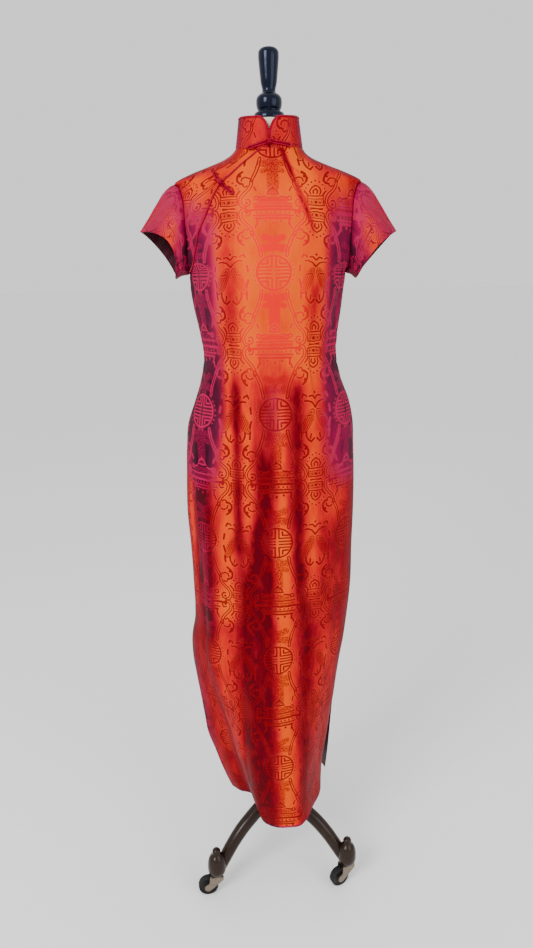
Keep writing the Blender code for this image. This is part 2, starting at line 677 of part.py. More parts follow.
def collar_height(angle):
    """Top of the collar at an angle, as a share of its full height, rounded down at its ends."""
    along = min(abs(angle), abs(2 * math.pi - angle)) * COLLAR_BASE["half_width"] - COLLAR_END
    if along >= NOTCH_WIDTH:
        return 1.0
    u = 1 - max(along, 0.0) / NOTCH_WIDTH
    return 1.0 - NOTCH_DROP * (1 - math.sqrt(max(1 - u * u, 0.0))) / COLLAR_FULL


def make_collar(collection, parent, silk):
    """Stand collar, with columns close together round its two corners."""
    fine = []
    for i in range(COLLAR_CORNER_POINTS):
        along = COLLAR_END + NOTCH_WIDTH * (1 - math.cos(i * math.pi / 12))
        fine.append(along / COLLAR_BASE["half_width"])
    first = fine[-1] + COLLAR_STEP
    rest = np.linspace(first, 2 * math.pi - first, COLLAR_COLUMNS)
    angles = fine + list(rest) + [2 * math.pi - angle for angle in reversed(fine)]
    rows = []
    for share in COLLAR_SHARES:
        rows.append([collar_point(angle, share * collar_height(angle)) for angle in angles])
    thing = add_object("collar", grid_mesh("collar", rows), collection, parent, silk, 60)
    return add_wall(thing, COLLAR_WALL)


def make_collar_piping(collection, parent, piping):
    """Bound edge up one collar end, round the top and down the other end."""
    clear = PIPING_R + SEAM
    mid_wall = -COLLAR_WALL / 2
    half_width = COLLAR_BASE["half_width"]
    end_top = collar_height(COLLAR_END / half_width)
    points = []
    for share in (0.10, 0.45, 0.8):
        points.append(collar_point((COLLAR_END - clear) / half_width, share * end_top, mid_wall))
    for i in range(9):
        turn = i * math.pi / 16
        along = COLLAR_END - clear + (NOTCH_WIDTH + clear) * (1 - math.cos(turn))
        drop = NOTCH_DROP - (NOTCH_DROP + clear) * math.sin(turn)
        points.append(collar_point(along / half_width, 1 - drop / COLLAR_FULL, mid_wall))
    corner = (COLLAR_END + NOTCH_WIDTH) / half_width
    for angle in np.linspace(corner + COLLAR_STEP, math.pi, 9):
        points.append(collar_point(angle, 1 + clear / COLLAR_FULL, mid_wall))
    mirrored = [Vector((2 * COLLAR_CENTRE_X - point.x, point.y, point.z)) for point in reversed(points[:-1])]
    return tube("collar_piping", points + mirrored, PIPING_R, collection, parent, piping)


def make_opening_piping(collection, parent, piping):
    """Bound edge of the front, from under the collar to the side seam."""
    points = []
    for level in range(NECK, UNDERARM, -1):
        s = opening_s(level)
        here = body_point(level, s, True)
        along = (here - body_point(level, s + 0.05, True)).normalized()
        up = body_point(min(level + 1, NECK), s, True) - body_point(level - 1, s, True)
        out = along.cross(up).normalized()
        if out.y > 0:
            out = -out
        points.append(here + along * (OPENING_PIPING_R + SEAM) + out * PIPING_PROUD)
    points[0] = points[0].lerp(points[1], 0.45)     # it starts below the collar's foot
    return tube("opening_piping", points, OPENING_PIPING_R, collection, parent, piping)


def make_frog(name, knot_middle, out, arms, collection, parent, piping):
    """Ball knot with a double-cord arm on each side; arms give each arm's route on the cloth."""
    knot = primitive(name + "_knot", collection, parent, knot_middle,
                     bmesh.ops.create_uvsphere, u_segments=12, v_segments=8, radius=KNOT_R)
    knot.data.materials.append(piping)
    for arm_name, landed in arms:
        toward = landed[0] - knot_middle
        toward = (toward - out * toward.dot(out)).normalized()
        route = [knot_middle + toward * ARM_ROOT] + landed
        along = (route[-1] - route[1]).normalized()
        across = out.cross(along).normalized() * CORD_SPREAD
        nose = route[-1] + along * ARM_NOSE
        turn_round = [nose + across * 0.55, nose - across * 0.55]
        there = [point + across for point in route]
        back = [point - across for point in reversed(route)]
        tube(f"{name}_{arm_name}", there + turn_round + back, CORD_R, collection, parent, piping)


def make_frogs(collection, parent, piping):
    """Collar frog on the collar's foot, and chest frog where the opening turns."""
    out = Vector((0.0, -1.0, 0.0))
    face = Vector((COLLAR_CENTRE_X, COLLAR_BASE["front_y"] - PIPING_PROUD, COLLAR_FROG_Z))
    arms = []
    for arm_name, side, length, fall in COLLAR_FROG_ARMS:
        route = []
        for share in np.linspace(ARM_LANDING / length, 1.0, 5):
            point = collar_point(side * length * share / COLLAR_BASE["half_width"], 0.0, ARM_LIFT)
            point.z = face.z - fall * share
            route.append(point)
        arms.append((arm_name, route))
    make_frog("collar_frog", face + out * KNOT_R, out, arms, collection, parent, piping)

    place, out = surface_at(*CHEST_FROG_PLACE)
    arms = []
    for arm_name, x_reach, z_reach, under in CHEST_FROG_ARMS:
        route = []
        first = ARM_LANDING / math.hypot(x_reach, z_reach)
        for share in np.linspace(first, 1.0, 4):
            point, normal = surface_at(place.x + x_reach * share, place.z + z_reach * share, under)
            route.append(point + normal * ARM_LIFT)
        arms.append((arm_name, route))
    middle = place + out * (CHEST_KNOT_LIFT + KNOT_R)
    make_frog("chest_frog", middle, out, arms, collection, parent, piping)


# ---------------------------------------------------------------- the dress form

def form_nominal(level, angle):
    """The dress's outer face at an angle from the middle front, carried across the armholes."""
    front = math.cos(angle) >= 0
    s = math.asin(max(min(math.sin(angle), 1.0), -1.0)) / (math.pi / 2)
    if level <= UNDERARM:
        point = lower_section(BODY_ROWS[level][0], s, front)
    else:
        row = list((UPPER_FRONT if front else UPPER_BACK)[level - UNDERARM - 1])
        row[UPPER_COLUMNS.index("side_y")] = 0.0
        row[UPPER_COLUMNS.index("turn")] = 90.0
        share = (level - UNDERARM) / (NECK - UNDERARM)
        point = upper_section(row, s, UPPER_CENTRE_X + neck_shift(share))
    return Vector(point[1:])


def form_ring(level):
    """Ring of the form under one level of the dress."""
    ring = []
    for i in range(FORM_SIDES):
        angle = 2 * math.pi * i / FORM_SIDES
        here = form_nominal(level, angle)
        along = form_nominal(level, angle + 0.05) - form_nominal(level, angle - 0.05)
        up = form_nominal(min(level + 1, NECK), angle) - form_nominal(level - 1, angle)
        out = along.cross(up).normalized()
        ease = float(read_row(FORM_EASE, FORM_EASE_COLUMNS, here.z)["ease"])
        ease += FORM_FRONT_EASE * max(math.cos(angle), 0.0) ** 0.5
        ring.append(here - out * ease)
    return ring


def neck_ring(row):
    """Ring of the form's neck, leaning up to the back less and less towards its flat top."""
    cut = dict(zip(FORM_NECK_COLUMNS, row))
    top = FORM_NECK[-1][0]
    tilt = FORM_NECK_TILT * (top - cut["z"]) / (top - FORM_NECK[0][0])
    ring = []
    for i in range(FORM_SIDES):
        angle = 2 * math.pi * i / FORM_SIDES
        deep = -cut["front_y"] if math.cos(angle) > 0 else cut["back_y"]
        ring.append(Vector((NECK_CENTRE_X + cut["half_width"] * math.sin(angle), -deep * math.cos(angle),
                            cut["z"] - tilt * math.cos(angle))))
    return ring


def make_form(collection, parent, jersey):
    """Smooth limbless torso from the hips to the neck."""
    first = next(i for i, row in enumerate(BODY_ROWS) if row[0] > FORM_BOTTOM_Z)
    rings = [[Vector((point.x, point.y, FORM_BOTTOM_Z)) for point in form_ring(first)]]
    rings += [form_ring(level) for level in range(first, NECK + 1)]
    rings += [neck_ring(row) for row in FORM_NECK]
    return add_object("form_torso", loft_solid("form_torso", rings), collection, parent, jersey, 60)


# ---------------------------------------------------------------- the stand

def make_pole_and_tube(collection, parent, slide, steel, paint):
    base = HUB_PROFILE[0][1] + GAP
    tube_profile = ((TUBE_BORE, TUBE_TOP_Z), (CLAMP_R, TUBE_TOP_Z), (CLAMP_R, TUBE_TOP_Z - CLAMP_HEIGHT),
                    (TUBE_R, TUBE_TOP_Z - CLAMP_HEIGHT - CLAMP_CHAMFER), (TUBE_R, base), (TUBE_BORE, base))
    turned("outer_tube", tube_profile, collection, parent, paint, POLE_SIDES, closed=True)
    pole_top = FORM_BOTTOM_Z - GAP
    pole_profile = ((0.0, pole_top), (POLE_R, pole_top), (POLE_R, POLE_BOTTOM_Z), (0.0, POLE_BOTTOM_Z))
    turned("inner_pole", pole_profile, collection, slide, steel, POLE_SIDES)


def cylinder(name, collection, parent, place, radius, depth, segments=16):
    return primitive(name, collection, parent, place, bmesh.ops.create_cone, cap_ends=True,
                     segments=segments, radius1=radius, radius2=radius, depth=depth)


def leg_mesh(collection, parent, paint):
    """One leg along +X: a tapering curved bar and its foot, in one casting, cut to fit the hub."""
    route = []
    radii = []
    for out in np.linspace(LEG_ROUTE[0][0], LEG_ROUTE[-1][0], LEG_STEPS):
        here = read_row(LEG_ROUTE, LEG_COLUMNS, out)
        route.append((out, 0.0, here["z"]))
        radii.append(here["thickness"])
    bar = as_mesh(tube("leg_bar", route, LEG_ROUTE[0][2], collection, parent, paint, radii))
    foot = turned("leg_foot", BULB_PROFILE, collection, parent, None, 12)
    foot.location = (FOOT_RADIUS, 0.0, 0.0)
    bar = combine(bar, as_mesh(foot), "UNION")
    middle = (FOOT_RADIUS, 0.0, SOCKET_TOP_Z / 2)
    socket = cylinder("leg_socket", collection, parent, middle, SOCKET_R, SOCKET_TOP_Z)
    bar = combine(bar, socket, "DIFFERENCE")
    hub_middle_z = (HUB_PROFILE[0][1] + HUB_PROFILE[-1][1]) / 2
    hub_height = HUB_PROFILE[0][1] - HUB_PROFILE[-1][1] + 2 * HUB_R
    hub = cylinder("hub_room", collection, parent, (0.0, 0.0, hub_middle_z), HUB_R + HUB_ROOM, hub_height, 48)
    bar = combine(bar, hub, "DIFFERENCE")
    mesh = bar.data
    bpy.data.objects.remove(bar, do_unlink=True)
    return mesh


def fork_cheek(name, outline):
    """Prism of the fork's side outline (x, z), across its full width."""
    mesh = bpy.data.meshes.new(name)
    shape = bmesh.new()
    near = [shape.verts.new((x, -FORK_HALF_WIDTH, z)) for x, z in outline]
    face = shape.faces.new(near)
    pushed = bmesh.ops.extrude_face_region(shape, geom=[face])
    moved = [item for item in pushed["geom"] if isinstance(item, bmesh.types.BMVert)]
    bmesh.ops.translate(shape, verts=moved, vec=(0.0, FORK_HALF_WIDTH * 2, 0.0))
    bmesh.ops.recalc_face_normals(shape, faces=shape.faces)
    shape.to_mesh(mesh)
    shape.free()
    return mesh


def fork_mesh(collection, parent):
    """Caster fork, its stem on the Z axis and its wheel trailing along -X."""
    outline = [(-TRAIL + 0.002, WHEEL_R + 0.0115)]
    for i in range(1, FORK_EAR_POINTS):
        angle = math.radians(90 + 20 * i)
        outline.append((-TRAIL + FORK_EAR_R * math.cos(angle), WHEEL_R + FORK_EAR_R * math.sin(angle)))
    outline += [(0.0125, FORK_TOP_Z - 0.0110), (0.0138, FORK_TOP_Z - 0.0025), (0.0120, FORK_TOP_Z),
                (-0.0130, FORK_TOP_Z), (-0.0165, FORK_TOP_Z - CROWN)]
    fork = add_object("fork", fork_cheek("fork", outline), collection, parent, None)
    channel_top = FORK_TOP_Z - CROWN
    channel = primitive("channel", collection, parent, (-TRAIL / 2, 0.0, channel_top / 2 - 0.001),
                        bmesh.ops.create_cube, size=1.0)
    channel.data.transform(Matrix.Diagonal((WHEEL_R * 3.5, SLOT_HALF_WIDTH * 2, channel_top + 0.002, 1.0)))
    fork = combine(fork, channel, "DIFFERENCE")
    stem_low = FORK_TOP_Z - CROWN / 2
    stem_high = SOCKET_TOP_Z - 0.0035
    middle = (0.0, 0.0, (stem_low + stem_high) / 2)
    stem = cylinder("stem", collection, parent, middle, STEM_R, stem_high - stem_low)
    fork = combine(fork, stem, "UNION")
    length = (FORK_HALF_WIDTH + AXLE_END) * 2
    axle = cylinder("axle", collection, parent, (-TRAIL, 0.0, WHEEL_R), AXLE_R, length, 12)
    axle.data.transform(Matrix.Rotation(math.pi / 2, 4, "X"))
    fork = combine(fork, axle, "UNION")
    made = fork.data
    bpy.data.objects.remove(fork, do_unlink=True)
    return made


def wheel_mesh(collection, parent, rubber):
    """Wheel on the Y axis with dished sides, a rounded tread and a bore for its axle."""
    half = WHEEL_WIDTH / 2
    bore = AXLE_R + GAP
    side = ((bore, half), (HUB_FACE_R, half), (HUB_FACE_R + 0.002, half - DISH), (WEB_R, half - DISH),
            (WHEEL_R - TREAD_ROUND / 2, half - 0.0002), (WHEEL_R, half - TREAD_ROUND))
    profile = side + tuple((radius, -height) for radius, height in reversed(side))
    wheel = as_mesh(turned("wheel", profile, collection, parent, rubber, 16, closed=True))
    mesh = wheel.data
    mesh.transform(Matrix.Rotation(math.pi / 2, 4, "X"))
    bpy.data.objects.remove(wheel, do_unlink=True)
    return mesh


def make_stand(collection, parent, paint, nickel, rubber):
    turned("hub", HUB_PROFILE, collection, parent, paint, 20)
    leg = leg_mesh(collection, parent, paint)
    fork = fork_mesh(collection, parent)
    wheel = wheel_mesh(collection, parent, rubber)
    fork.materials.append(nickel)
    for number, (angle, turn) in enumerate(zip(LEG_ANGLES, CASTER_TURNS), start=1):
        arm = add_empty(f"leg_{number}_turn", collection, parent, turn=angle - 90.0)
        add_object(f"leg_{number}", leg, collection, arm, paint)
        toward = math.radians(angle)
        place = (FOOT_RADIUS * math.sin(toward), -FOOT_RADIUS * math.cos(toward), 0.0)
        swivel = add_empty(f"caster_{number}_swivel", collection, parent, place, turn)
        add_object(f"caster_{number}_fork", fork, collection, swivel, nickel)
        axle = add_empty(f"caster_{number}_axle", collection, swivel, (-TRAIL, 0.0, WHEEL_R))
        add_object(f"caster_{number}_wheel", wheel, collection, axle, rubber)


def main():
    clear_scene()
    collection = bpy.data.collections.new(COLLECTION)
    bpy.context.scene.collection.children.link(collection)
    axis = add_empty("pole_axis", collection, place=(AXIS_X, AXIS_Y, 0.0))
    slide = add_empty("height_slide", collection, axis)
    silk = make_material("shot_silk_brocade", (0.72, 0.12, 0.03), 0.42)
    piping = make_material("crimson_satin_piping", (0.32, 0.02, 0.03), 0.45)
    jersey = make_material("cream_jersey", (0.85, 0.83, 0.78), 0.85)
    lacquer = make_material("black_lacquered_wood", (0.012, 0.012, 0.018), 0.18)
    paint = make_material("dark_brown_enamel", (0.022, 0.015, 0.012), 0.35)
    nickel = make_material("nickel_plate", (0.55, 0.51, 0.46), 0.30, 1.0)
    steel = make_material("bright_steel_tube", (0.55, 0.55, 0.56), 0.28, 1.0)
    rubber = make_material("black_nylon_wheel", (0.020, 0.018, 0.017), 0.50)

    make_front_panel(collection, slide, silk)
    make_under_front(collection, slide, silk)
    make_back_panel(collection, slide, silk)
    for row in SLEEVES:
        make_sleeve(row, collection, slide, silk)
    make_collar(collection, slide, silk)
    make_collar_piping(collection, slide, piping)
    make_opening_piping(collection, slide, piping)
    make_frogs(collection, slide, piping)
    make_form(collection, slide, jersey)
    turned("neck_cap", CAP_PROFILE, collection, slide, lacquer, 20)
    make_pole_and_tube(collection, axis, slide, steel, paint)
    make_stand(collection, axis, paint, nickel, rubber)


main()
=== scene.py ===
"""Looks of a short-sleeved brocade cheongsam on a limbless dress form with a castered stand.

+Z is up, the dress faces -Y and +X is the wearer's left. The tables of sizes are in mm from the
stand's pole, with thousandths where a column has no unit, and metres() turns them to metres. s
runs round a panel from -1 to 1 between its side seams.
"""
import math
from functools import partial

import bmesh
import bpy
import numpy as np
from mathutils import Matrix, Vector


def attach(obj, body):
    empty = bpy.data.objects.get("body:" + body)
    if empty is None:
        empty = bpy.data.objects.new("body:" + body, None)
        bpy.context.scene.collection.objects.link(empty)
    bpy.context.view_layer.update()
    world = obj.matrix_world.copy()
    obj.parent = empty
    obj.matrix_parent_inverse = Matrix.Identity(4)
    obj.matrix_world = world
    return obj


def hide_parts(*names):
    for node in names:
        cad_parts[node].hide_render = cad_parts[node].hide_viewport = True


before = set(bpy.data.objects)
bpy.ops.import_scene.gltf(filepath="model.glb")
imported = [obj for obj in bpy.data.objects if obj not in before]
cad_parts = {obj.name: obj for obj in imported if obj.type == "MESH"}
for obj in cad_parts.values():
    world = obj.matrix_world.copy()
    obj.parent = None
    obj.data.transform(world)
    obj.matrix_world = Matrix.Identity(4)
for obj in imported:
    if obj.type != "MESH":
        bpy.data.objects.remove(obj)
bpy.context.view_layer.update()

bl_info = {
    "name": "Cheongsam on a dress form",
    "version": (1, 0, 0),
    "blender": (4, 5, 0),
    "location": "3D View > Sidebar > Cheongsam",
    "description": "Brocade cheongsam with piping and frogs on a limbless dress form and castered stand",
    "category": "Object",
}

AXIS = Vector((0.0045, -0.0301, 0.0))     # the pole, in the part's frame


def metres(rows, *plain):
    """Rows in mm and thousandths turned to metres and shares; plain columns stay as they are."""
    return tuple(tuple(v if i in plain else v / 1000 for i, v in enumerate(row)) for row in rows)


# ---------------------------------------------------------------- the dress's cut

HEM_Z = 0.174
SLIT_TOP_Z = 0.62
HEM_BLEND_Z = 0.70

BODY_COLUMNS = ("z", "right_x", "left_x", "front_y", "back_y")
BODY_ROWS = metres((
    (174, -104, 99, -104, 150), (200, -114, 99, -104, 149), (240, -127, 100, -105, 146),
    (283, -139, 104, -106, 142), (330, -153, 111, -107, 138), (380, -159, 117, -108, 134),
    (430, -165, 124, -109, 130), (484, -172, 130, -110, 127), (530, -177, 136, -111, 124),
    (575, -177, 143, -112, 122), (620, -169, 148, -113, 121), (700, -168, 155, -114, 119),
    (780, -170, 156, -115, 118), (860, -174, 158, -115, 118), (930, -172, 158, -113, 117),
    (990, -169, 156, -110, 110), (1035, -164, 154, -106, 101), (1075, -150, 146, -102, 91),
    (1115, -137, 131, -98, 82), (1160, -130, 121, -95, 78), (1205, -135, 123, -101, 81),
    (1250, -144, 129, -113, 91), (1285, -149, 133, -122, 99), (1299, -150, 135, -124, 102),
    (1312, -150, 136, -125, 104),
))

UPPER_COLUMNS = ("mid_z", "mid_y", "half_width", "side_y", "side_z", "turn")
UPPER_FRONT = metres((
    (1335, -124, 145, -28, 1323, 80), (1362, -117, 146, -45, 1348, 70), (1390, -107, 146, -50, 1378, 66),
    (1415, -98, 147, -48, 1408, 66), (1438, -90, 150, -38, 1437, 72), (1456, -83, 157, -20, 1457, 80),
    (1469, -78, 164, 0, 1467, 90), (1479, -74, 136, 0, 1480, 90), (1489, -70, 107, 0, 1490.5, 90),
    (1498, -66, 81, 0, 1501, 90), (1507, -63.5, 66, 0, 1510.5, 90), (1514, -62, 59, 0, 1519, 90),
), 5)
UPPER_BACK = metres((
    (1337, 107, 145, 30, 1323, 80), (1366, 109, 148, 48, 1348, 68), (1396, 108, 150, 55, 1378, 62),
    (1424, 105, 151, 53, 1408, 62), (1449, 100, 154, 42, 1437, 70), (1470, 94, 159, 22, 1457, 80),
    (1487, 88, 164, 0, 1467, 90), (1500, 81, 136, 0, 1480, 90), (1511, 74, 107, 0, 1490.5, 90),
    (1520, 68, 81, 0, 1501, 90), (1528, 63, 66, 0, 1510.5, 90), (1535, 60, 59, 0, 1519, 90),
), 5)
UPPER_CENTRE_X = -0.004
NECK_CENTRE_X = -0.001

HEM_FRONT = metres((
    (-104, 27), (-84, 10), (-62, 2), (-47, -45), (-28, -92), (-6, -104), (22, -105), (45, -101), (62, -80),
    (78, -40), (94, -4), (99, 17),
))
HEM_BACK = metres((
    (-108, 60), (-92, 104), (-58, 138), (-22, 132), (18, 150), (60, 142), (96, 124), (115, 87.5),
))
BACK_EDGE_COLUMNS = ("z", "right_x", "left_x")
BACK_EDGES = metres((
    (174, -106, 115), (240, -113, 118), (330, -130, 121), (430, -152, 126), (530, -170, 137), (620, -169, 148),
))

FOLD_COLUMNS = ("s_top", "z_top", "s_low", "z_low", "half_width", "depth")
FRONT_FOLDS = metres((
    (-420, 1270, -360, 990, 45, 3), (440, 1270, 380, 990, 45, 3), (-740, 1310, -620, 1150, 55, 2.8),
    (760, 1310, 640, 1150, 55, 2.8), (120, 1510, 340, 1390, 60, 3), (-300, 1050, -340, 620, 75, 6),
    (-500, 950, -560, 400, 90, -6), (-120, 900, -260, 240, 70, 7), (60, 800, 100, 220, 80, -5),
    (300, 920, 330, 300, 70, 5),
))
BACK_FOLDS = metres((
    (-400, 1270, -380, 1000, 50, 3), (400, 1270, 380, 1000, 50, 3), (-340, 950, -300, 300, 80, 5.5),
    (100, 900, 40, 260, 80, 5), (460, 950, 520, 340, 80, -5),
))
# Finer creases, pressed into the cloth's face: drags under the arms, darts, and the skirt's breaks.
FRONT_CREASES = metres((
    (-840, 1345, -700, 1150, 22, 2.4), (-660, 1330, -560, 1160, 20, 2), (-940, 1330, -820, 1120, 18, 2),
    (-750, 1340, -640, 1110, 14, -1.4), (820, 1345, 720, 1150, 22, 2.4), (660, 1330, 580, 1160, 20, 2),
    (920, 1320, 820, 1120, 18, 2), (-400, 1290, -345, 1010, 10, 1.2), (420, 1290, 375, 1010, 10, 1.2),
    (130, 1525, 420, 1385, 11, 3.6), (50, 1500, 130, 1400, 16, 0.8), (-320, 1040, -300, 780, 26, 4.2),
    (-720, 1020, -700, 700, 36, 3.6), (-620, 760, -660, 360, 40, 2.2), (-200, 640, -300, 260, 32, 3.6),
    (200, 700, 260, 240, 34, 3), (600, 860, 620, 420, 50, 1.6), (440, 520, 480, 230, 30, 1.6),
))
BACK_CREASES = metres((
    (-420, 1290, -370, 1000, 10, 1.2), (420, 1290, 370, 1000, 10, 1.2), (-840, 1345, -720, 1200, 24, 1.4),
    (840, 1345, 720, 1200, 24, 1.4), (-160, 760, -200, 300, 40, 2.2), (300, 800, 280, 320, 38, 2),
    (700, 800, 720, 380, 50, 2), (-660, 800, -680, 380, 50, 2),
))
# Short level creases where the cloth rides up above the hips: height, side of s, reach and depth.
STRESS_COLUMNS = ("z", "s", "reach", "slope", "half_width", "depth")
STRESSES = metres((
    (1196, -800, 260, 100, 4.5, 1.1), (1178, -780, 300, 60, 5, 1.3), (1158, -800, 280, 20, 4.5, 1.2),
    (1140, -820, 240, -60, 4.5, 1.1), (1120, -840, 220, -100, 5, 1), (1190, 800, 260, 80, 4.5, 1.1),
    (1170, 780, 280, 40, 5, 1.3), (1150, 800, 260, -20, 4.5, 1.2), (1130, 820, 220, -80, 4.5, 1),
))

# Soft bands of painted light, by place in front: painted highlight where the warp catches the light (orange), painted
# shade where the cloth sinks into a fold (crimson, below 0).
BAND_COLUMNS = ("x_top", "z_top", "x_low", "z_low", "half_width", "amount")
FRONT_ORANGE = metres((
    (-43, 1520, -43, 1140, 20, 300), (43, 1520, 43, 1140, 20, 300), (0, 1480, 0, 1100, 60, 160),
    (36, 1530, 92, 1370, 14, 300), (-98, 1380, -98, 1200, 10, 400), (-125, 1470, -120, 1360, 22, 220),
    (88, 1370, 90, 1270, 12, 250), (10, 1535, 70, 1385, 4.5, -850), (-72, 1340, -70, 1200, 14, -220),
    (74, 1300, 72, 1160, 14, -220), (-81, 1170, -85, 1020, 7, 350), (-85, 1040, -95, 660, 20, 500),
    (-66, 1120, -69, 800, 8, -450), (-50, 1120, -50, 760, 14, 420), (13, 1100, 14, 800, 12, 420),
    (12, 840, 20, 150, 20, 600), (43, 1120, 44, 720, 11, -250), (68, 1200, 68, 700, 17, 360),
    (56, 780, 56, 200, 14, -240), (-20, 1000, -26, 600, 16, -280), (-34, 840, -40, 160, 32, -520),
    (-165, 1020, -163, 660, 10, 550), (-140, 1020, -132, 600, 16, -420), (-104, 720, -94, 300, 26, 260),
    (-80, 400, -60, 200, 20, 140), (110, 620, 85, 160, 34, 240), (110, 1260, 120, 860, 30, 260),
))
# Bands of painted magenta sheen in front.
FRONT_MAGENTA = metres((
    (-150, 1200, -150, 950, 45, 600), (140, 1200, 145, 930, 40, 550), (0, 1120, 0, 1020, 22, 300),
    (-145, 1000, -135, 620, 18, 400), (-185, 600, -140, 300, 14, 450),
))
# The back's bands of painted highlight (orange) and painted shade (below 0).
BACK_ORANGE = metres((
    (-50, 1500, -55, 1140, 22, 300), (50, 1500, 55, 1140, 22, 300), (-75, 1120, -80, 600, 20, 400),
    (30, 1100, 20, 240, 22, 450), (95, 1060, 95, 400, 18, 350), (-30, 1000, -34, 220, 20, -350),
    (62, 980, 66, 300, 14, -300), (-120, 900, -110, 360, 16, -250),
))
# The back's bands of painted magenta sheen.
BACK_MAGENTA = metres((
    (-140, 1200, -150, 980, 35, 400), (140, 1200, 150, 980, 35, 400),
))
# How far up the cloth each row of roundels sits: the bust darts take up cloth above the waist.
ROUNDEL_ROWS = metres((
    (159.5, 0), (408.3, 1), (653, 2), (894, 3), (1144.4, 4), (1366, 5),
), 1)

PANEL_ROWS = 400
PANEL_COLUMNS = 100
FRONT_GRAIN_X = 0.0035        # the front's middle column of roundels
SEAM_DIP = 0.0008             # how far a seam sinks into the cloth
HEM_TURN = 0.019              # the stitches that hold the hem, above its edge
STITCH_PITCH = 0.0095
STITCH_LENGTH = 0.0034
STITCH_R = 0.00045
COLLAR_CUT = (0.075, -0.108)  # where on the cloth the collar's middle front foot was cut

OPENING_COLUMNS = ("z", "x")
OPENING = metres((
    (1250, -144), (1285, -148.5), (1299, -148.5), (1312, -146), (1335, -137.5), (1362, -131), (1390, -123),
    (1415, -108), (1438, -96), (1456, -83), (1469, -69), (1479, -57), (1489, -45), (1498, -33), (1507, -22),
    (1514, -13.4),
))
OPENING_INNER_S = 0.2
UNDERLAP_DROP = 0.0032
UNDERLAP_WIDTH = 0.016
UNDERLAP_RISE = (0.012, 0.040)

SLEEVE_COLUMNS = ("name", "side", "top_x", "top_z", "low_x", "low_z", "bow_front", "bow_back")
SLEEVES = (
    ("sleeve_right", -1, -0.2345, 1.384, -0.1760, 1.303, 0.034, 0.003),
    ("sleeve_left", 1, 0.2255, 1.379, 0.1560, 1.300, 0.012, -0.002),
)
CUFF_DEPTH = 0.055
ARMHOLE_LAP = 0.0007           # how far the head reaches in over the panels' edge
ARMHOLE_TUCK = 0.0022          # how deep its allowance lies
SLEEVE_CUT = (0.030, -0.062)   # where on the cloth the sleeve head was cut
SLEEVE_ROWS = metres((
    (0, 0), (120, 10), (280, 16), (500, 12), (760, 4), (1000, 0),
))
CAP_SWELL = (0.15, -0.55, 0.40)

COLLAR_BASE = {"half_width": 0.0592, "front_y": -0.0622, "back_y": 0.0602}
COLLAR_TOP = {"half_width": 0.0530, "front_y": -0.0600, "back_y": 0.0560}
COLLAR_FRONT_Z = (1.5145, 1.5595)
COLLAR_SIDE_Z = (1.5195, 1.5655)
COLLAR_BACK_Z = (1.5355, 1.5760)
COLLAR_FULL = COLLAR_SIDE_Z[1] - COLLAR_SIDE_Z[0]
COLLAR_CENTRE_X = -0.001
COLLAR_WALL = 0.0020
COLLAR_END = 0.0019
NOTCH_WIDTH = 0.019
NOTCH_DROP = 0.032

KNOT_R = 0.0047
COLLAR_FROG_Z = 1.5225
COLLAR_FROG_ARMS = (("arm_right", -1, 0.0360, 0.0080), ("arm_left", 1, 0.0360, 0.0045))
CHEST_FROG_PLACE = (-0.0835, 1.4565)
CHEST_KNOT_LIFT = 0.0024
CHEST_FROG_ARMS = (("arm_upper", -0.0118, 0.0180, True), ("arm_lower", 0.0200, -0.0175, False))
ARM_ROOT = KNOT_R + 0.0002
ARM_LANDING = 0.0085

# ---------------------------------------------------------------- the form and the stand

FORM_BOTTOM_Z = 0.800
FORM_EASE_COLUMNS = ("z", "ease")
FORM_EASE = metres((
    (800, 15), (950, 12), (1050, 11), (1160, 10), (1250, 8.5), (1330, 8), (1420, 7.2), (1467, 3.3), (1500, 2.5),
    (1520, 4.2),
))
FORM_FRONT_EASE = 0.0042
FORM_NECK_COLUMNS = ("z", "half_width", "front_y", "back_y")
FORM_NECK = metres((
    (1530, 52.8, -55.5, 54), (1545, 50, -53.5, 51.5), (1558, 48, -51.5, 50), (1562.2, 45, -48, 47),
))
FORM_NECK_TILT = 0.008

CAP_PROFILE = metres((
    (0, 1679.7), (8.5, 1679), (14.5, 1676.5), (17.5, 1672), (17.9, 1667), (16.9, 1652), (14.4, 1626), (13, 1608.5),
    (17.4, 1606), (21.6, 1601), (22.6, 1593), (21.3, 1585), (19.4, 1580), (25.2, 1577), (27.3, 1572), (27.1, 1566),
    (25.7, 1562.5), (0, 1562.5),
))
HUB_PROFILE = metres((
    (0, 220), (19, 220), (25, 212), (32, 200), (34, 190), (34, 148), (30, 138), (18, 130), (8, 124), (0, 124),
))
TUBE_R = 0.0140
TUBE_BORE = 0.0107
TUBE_TOP_Z = 0.560
CLAMP_R = 0.0185
CLAMP_HEIGHT = 0.026
POLE_R = 0.0102
POLE_BOTTOM_Z = 0.240

LEG_ANGLES = (-55.0, 65.0, 185.0)
FOOT_RADIUS = 0.166
LEG_COLUMNS = ("out", "z", "thickness")
LEG_ROUTE = metres((
    (20, 174.5, 15.5), (45, 164, 15.2), (72, 148, 15), (100, 128, 14.7), (124, 104, 14.2), (146, 76, 13.5),
    (158, 58, 12),
))
FOOT_BOTTOM_Z = 0.050
BULB_PROFILE = metres((
    (0, 114), (4.5, 113.2), (8, 110), (9, 106), (8.2, 102), (10, 99), (15, 93), (18.5, 83), (19.8, 70), (19, 58),
    (17.2, 53), (15.5, 50), (4.6, 50),
))
CASTER_TURNS = (8.0, 28.0, -14.0)
TRAIL = 0.0200
WHEEL_R = 0.0215
WHEEL_WIDTH = 0.0150
FORK_TOP_Z = FOOT_BOTTOM_Z - 0.0003
FORK_HALF_WIDTH = 0.0115
CHEEK_THICKNESS = 0.0026


# ---------------------------------------------------------------- curves and sections


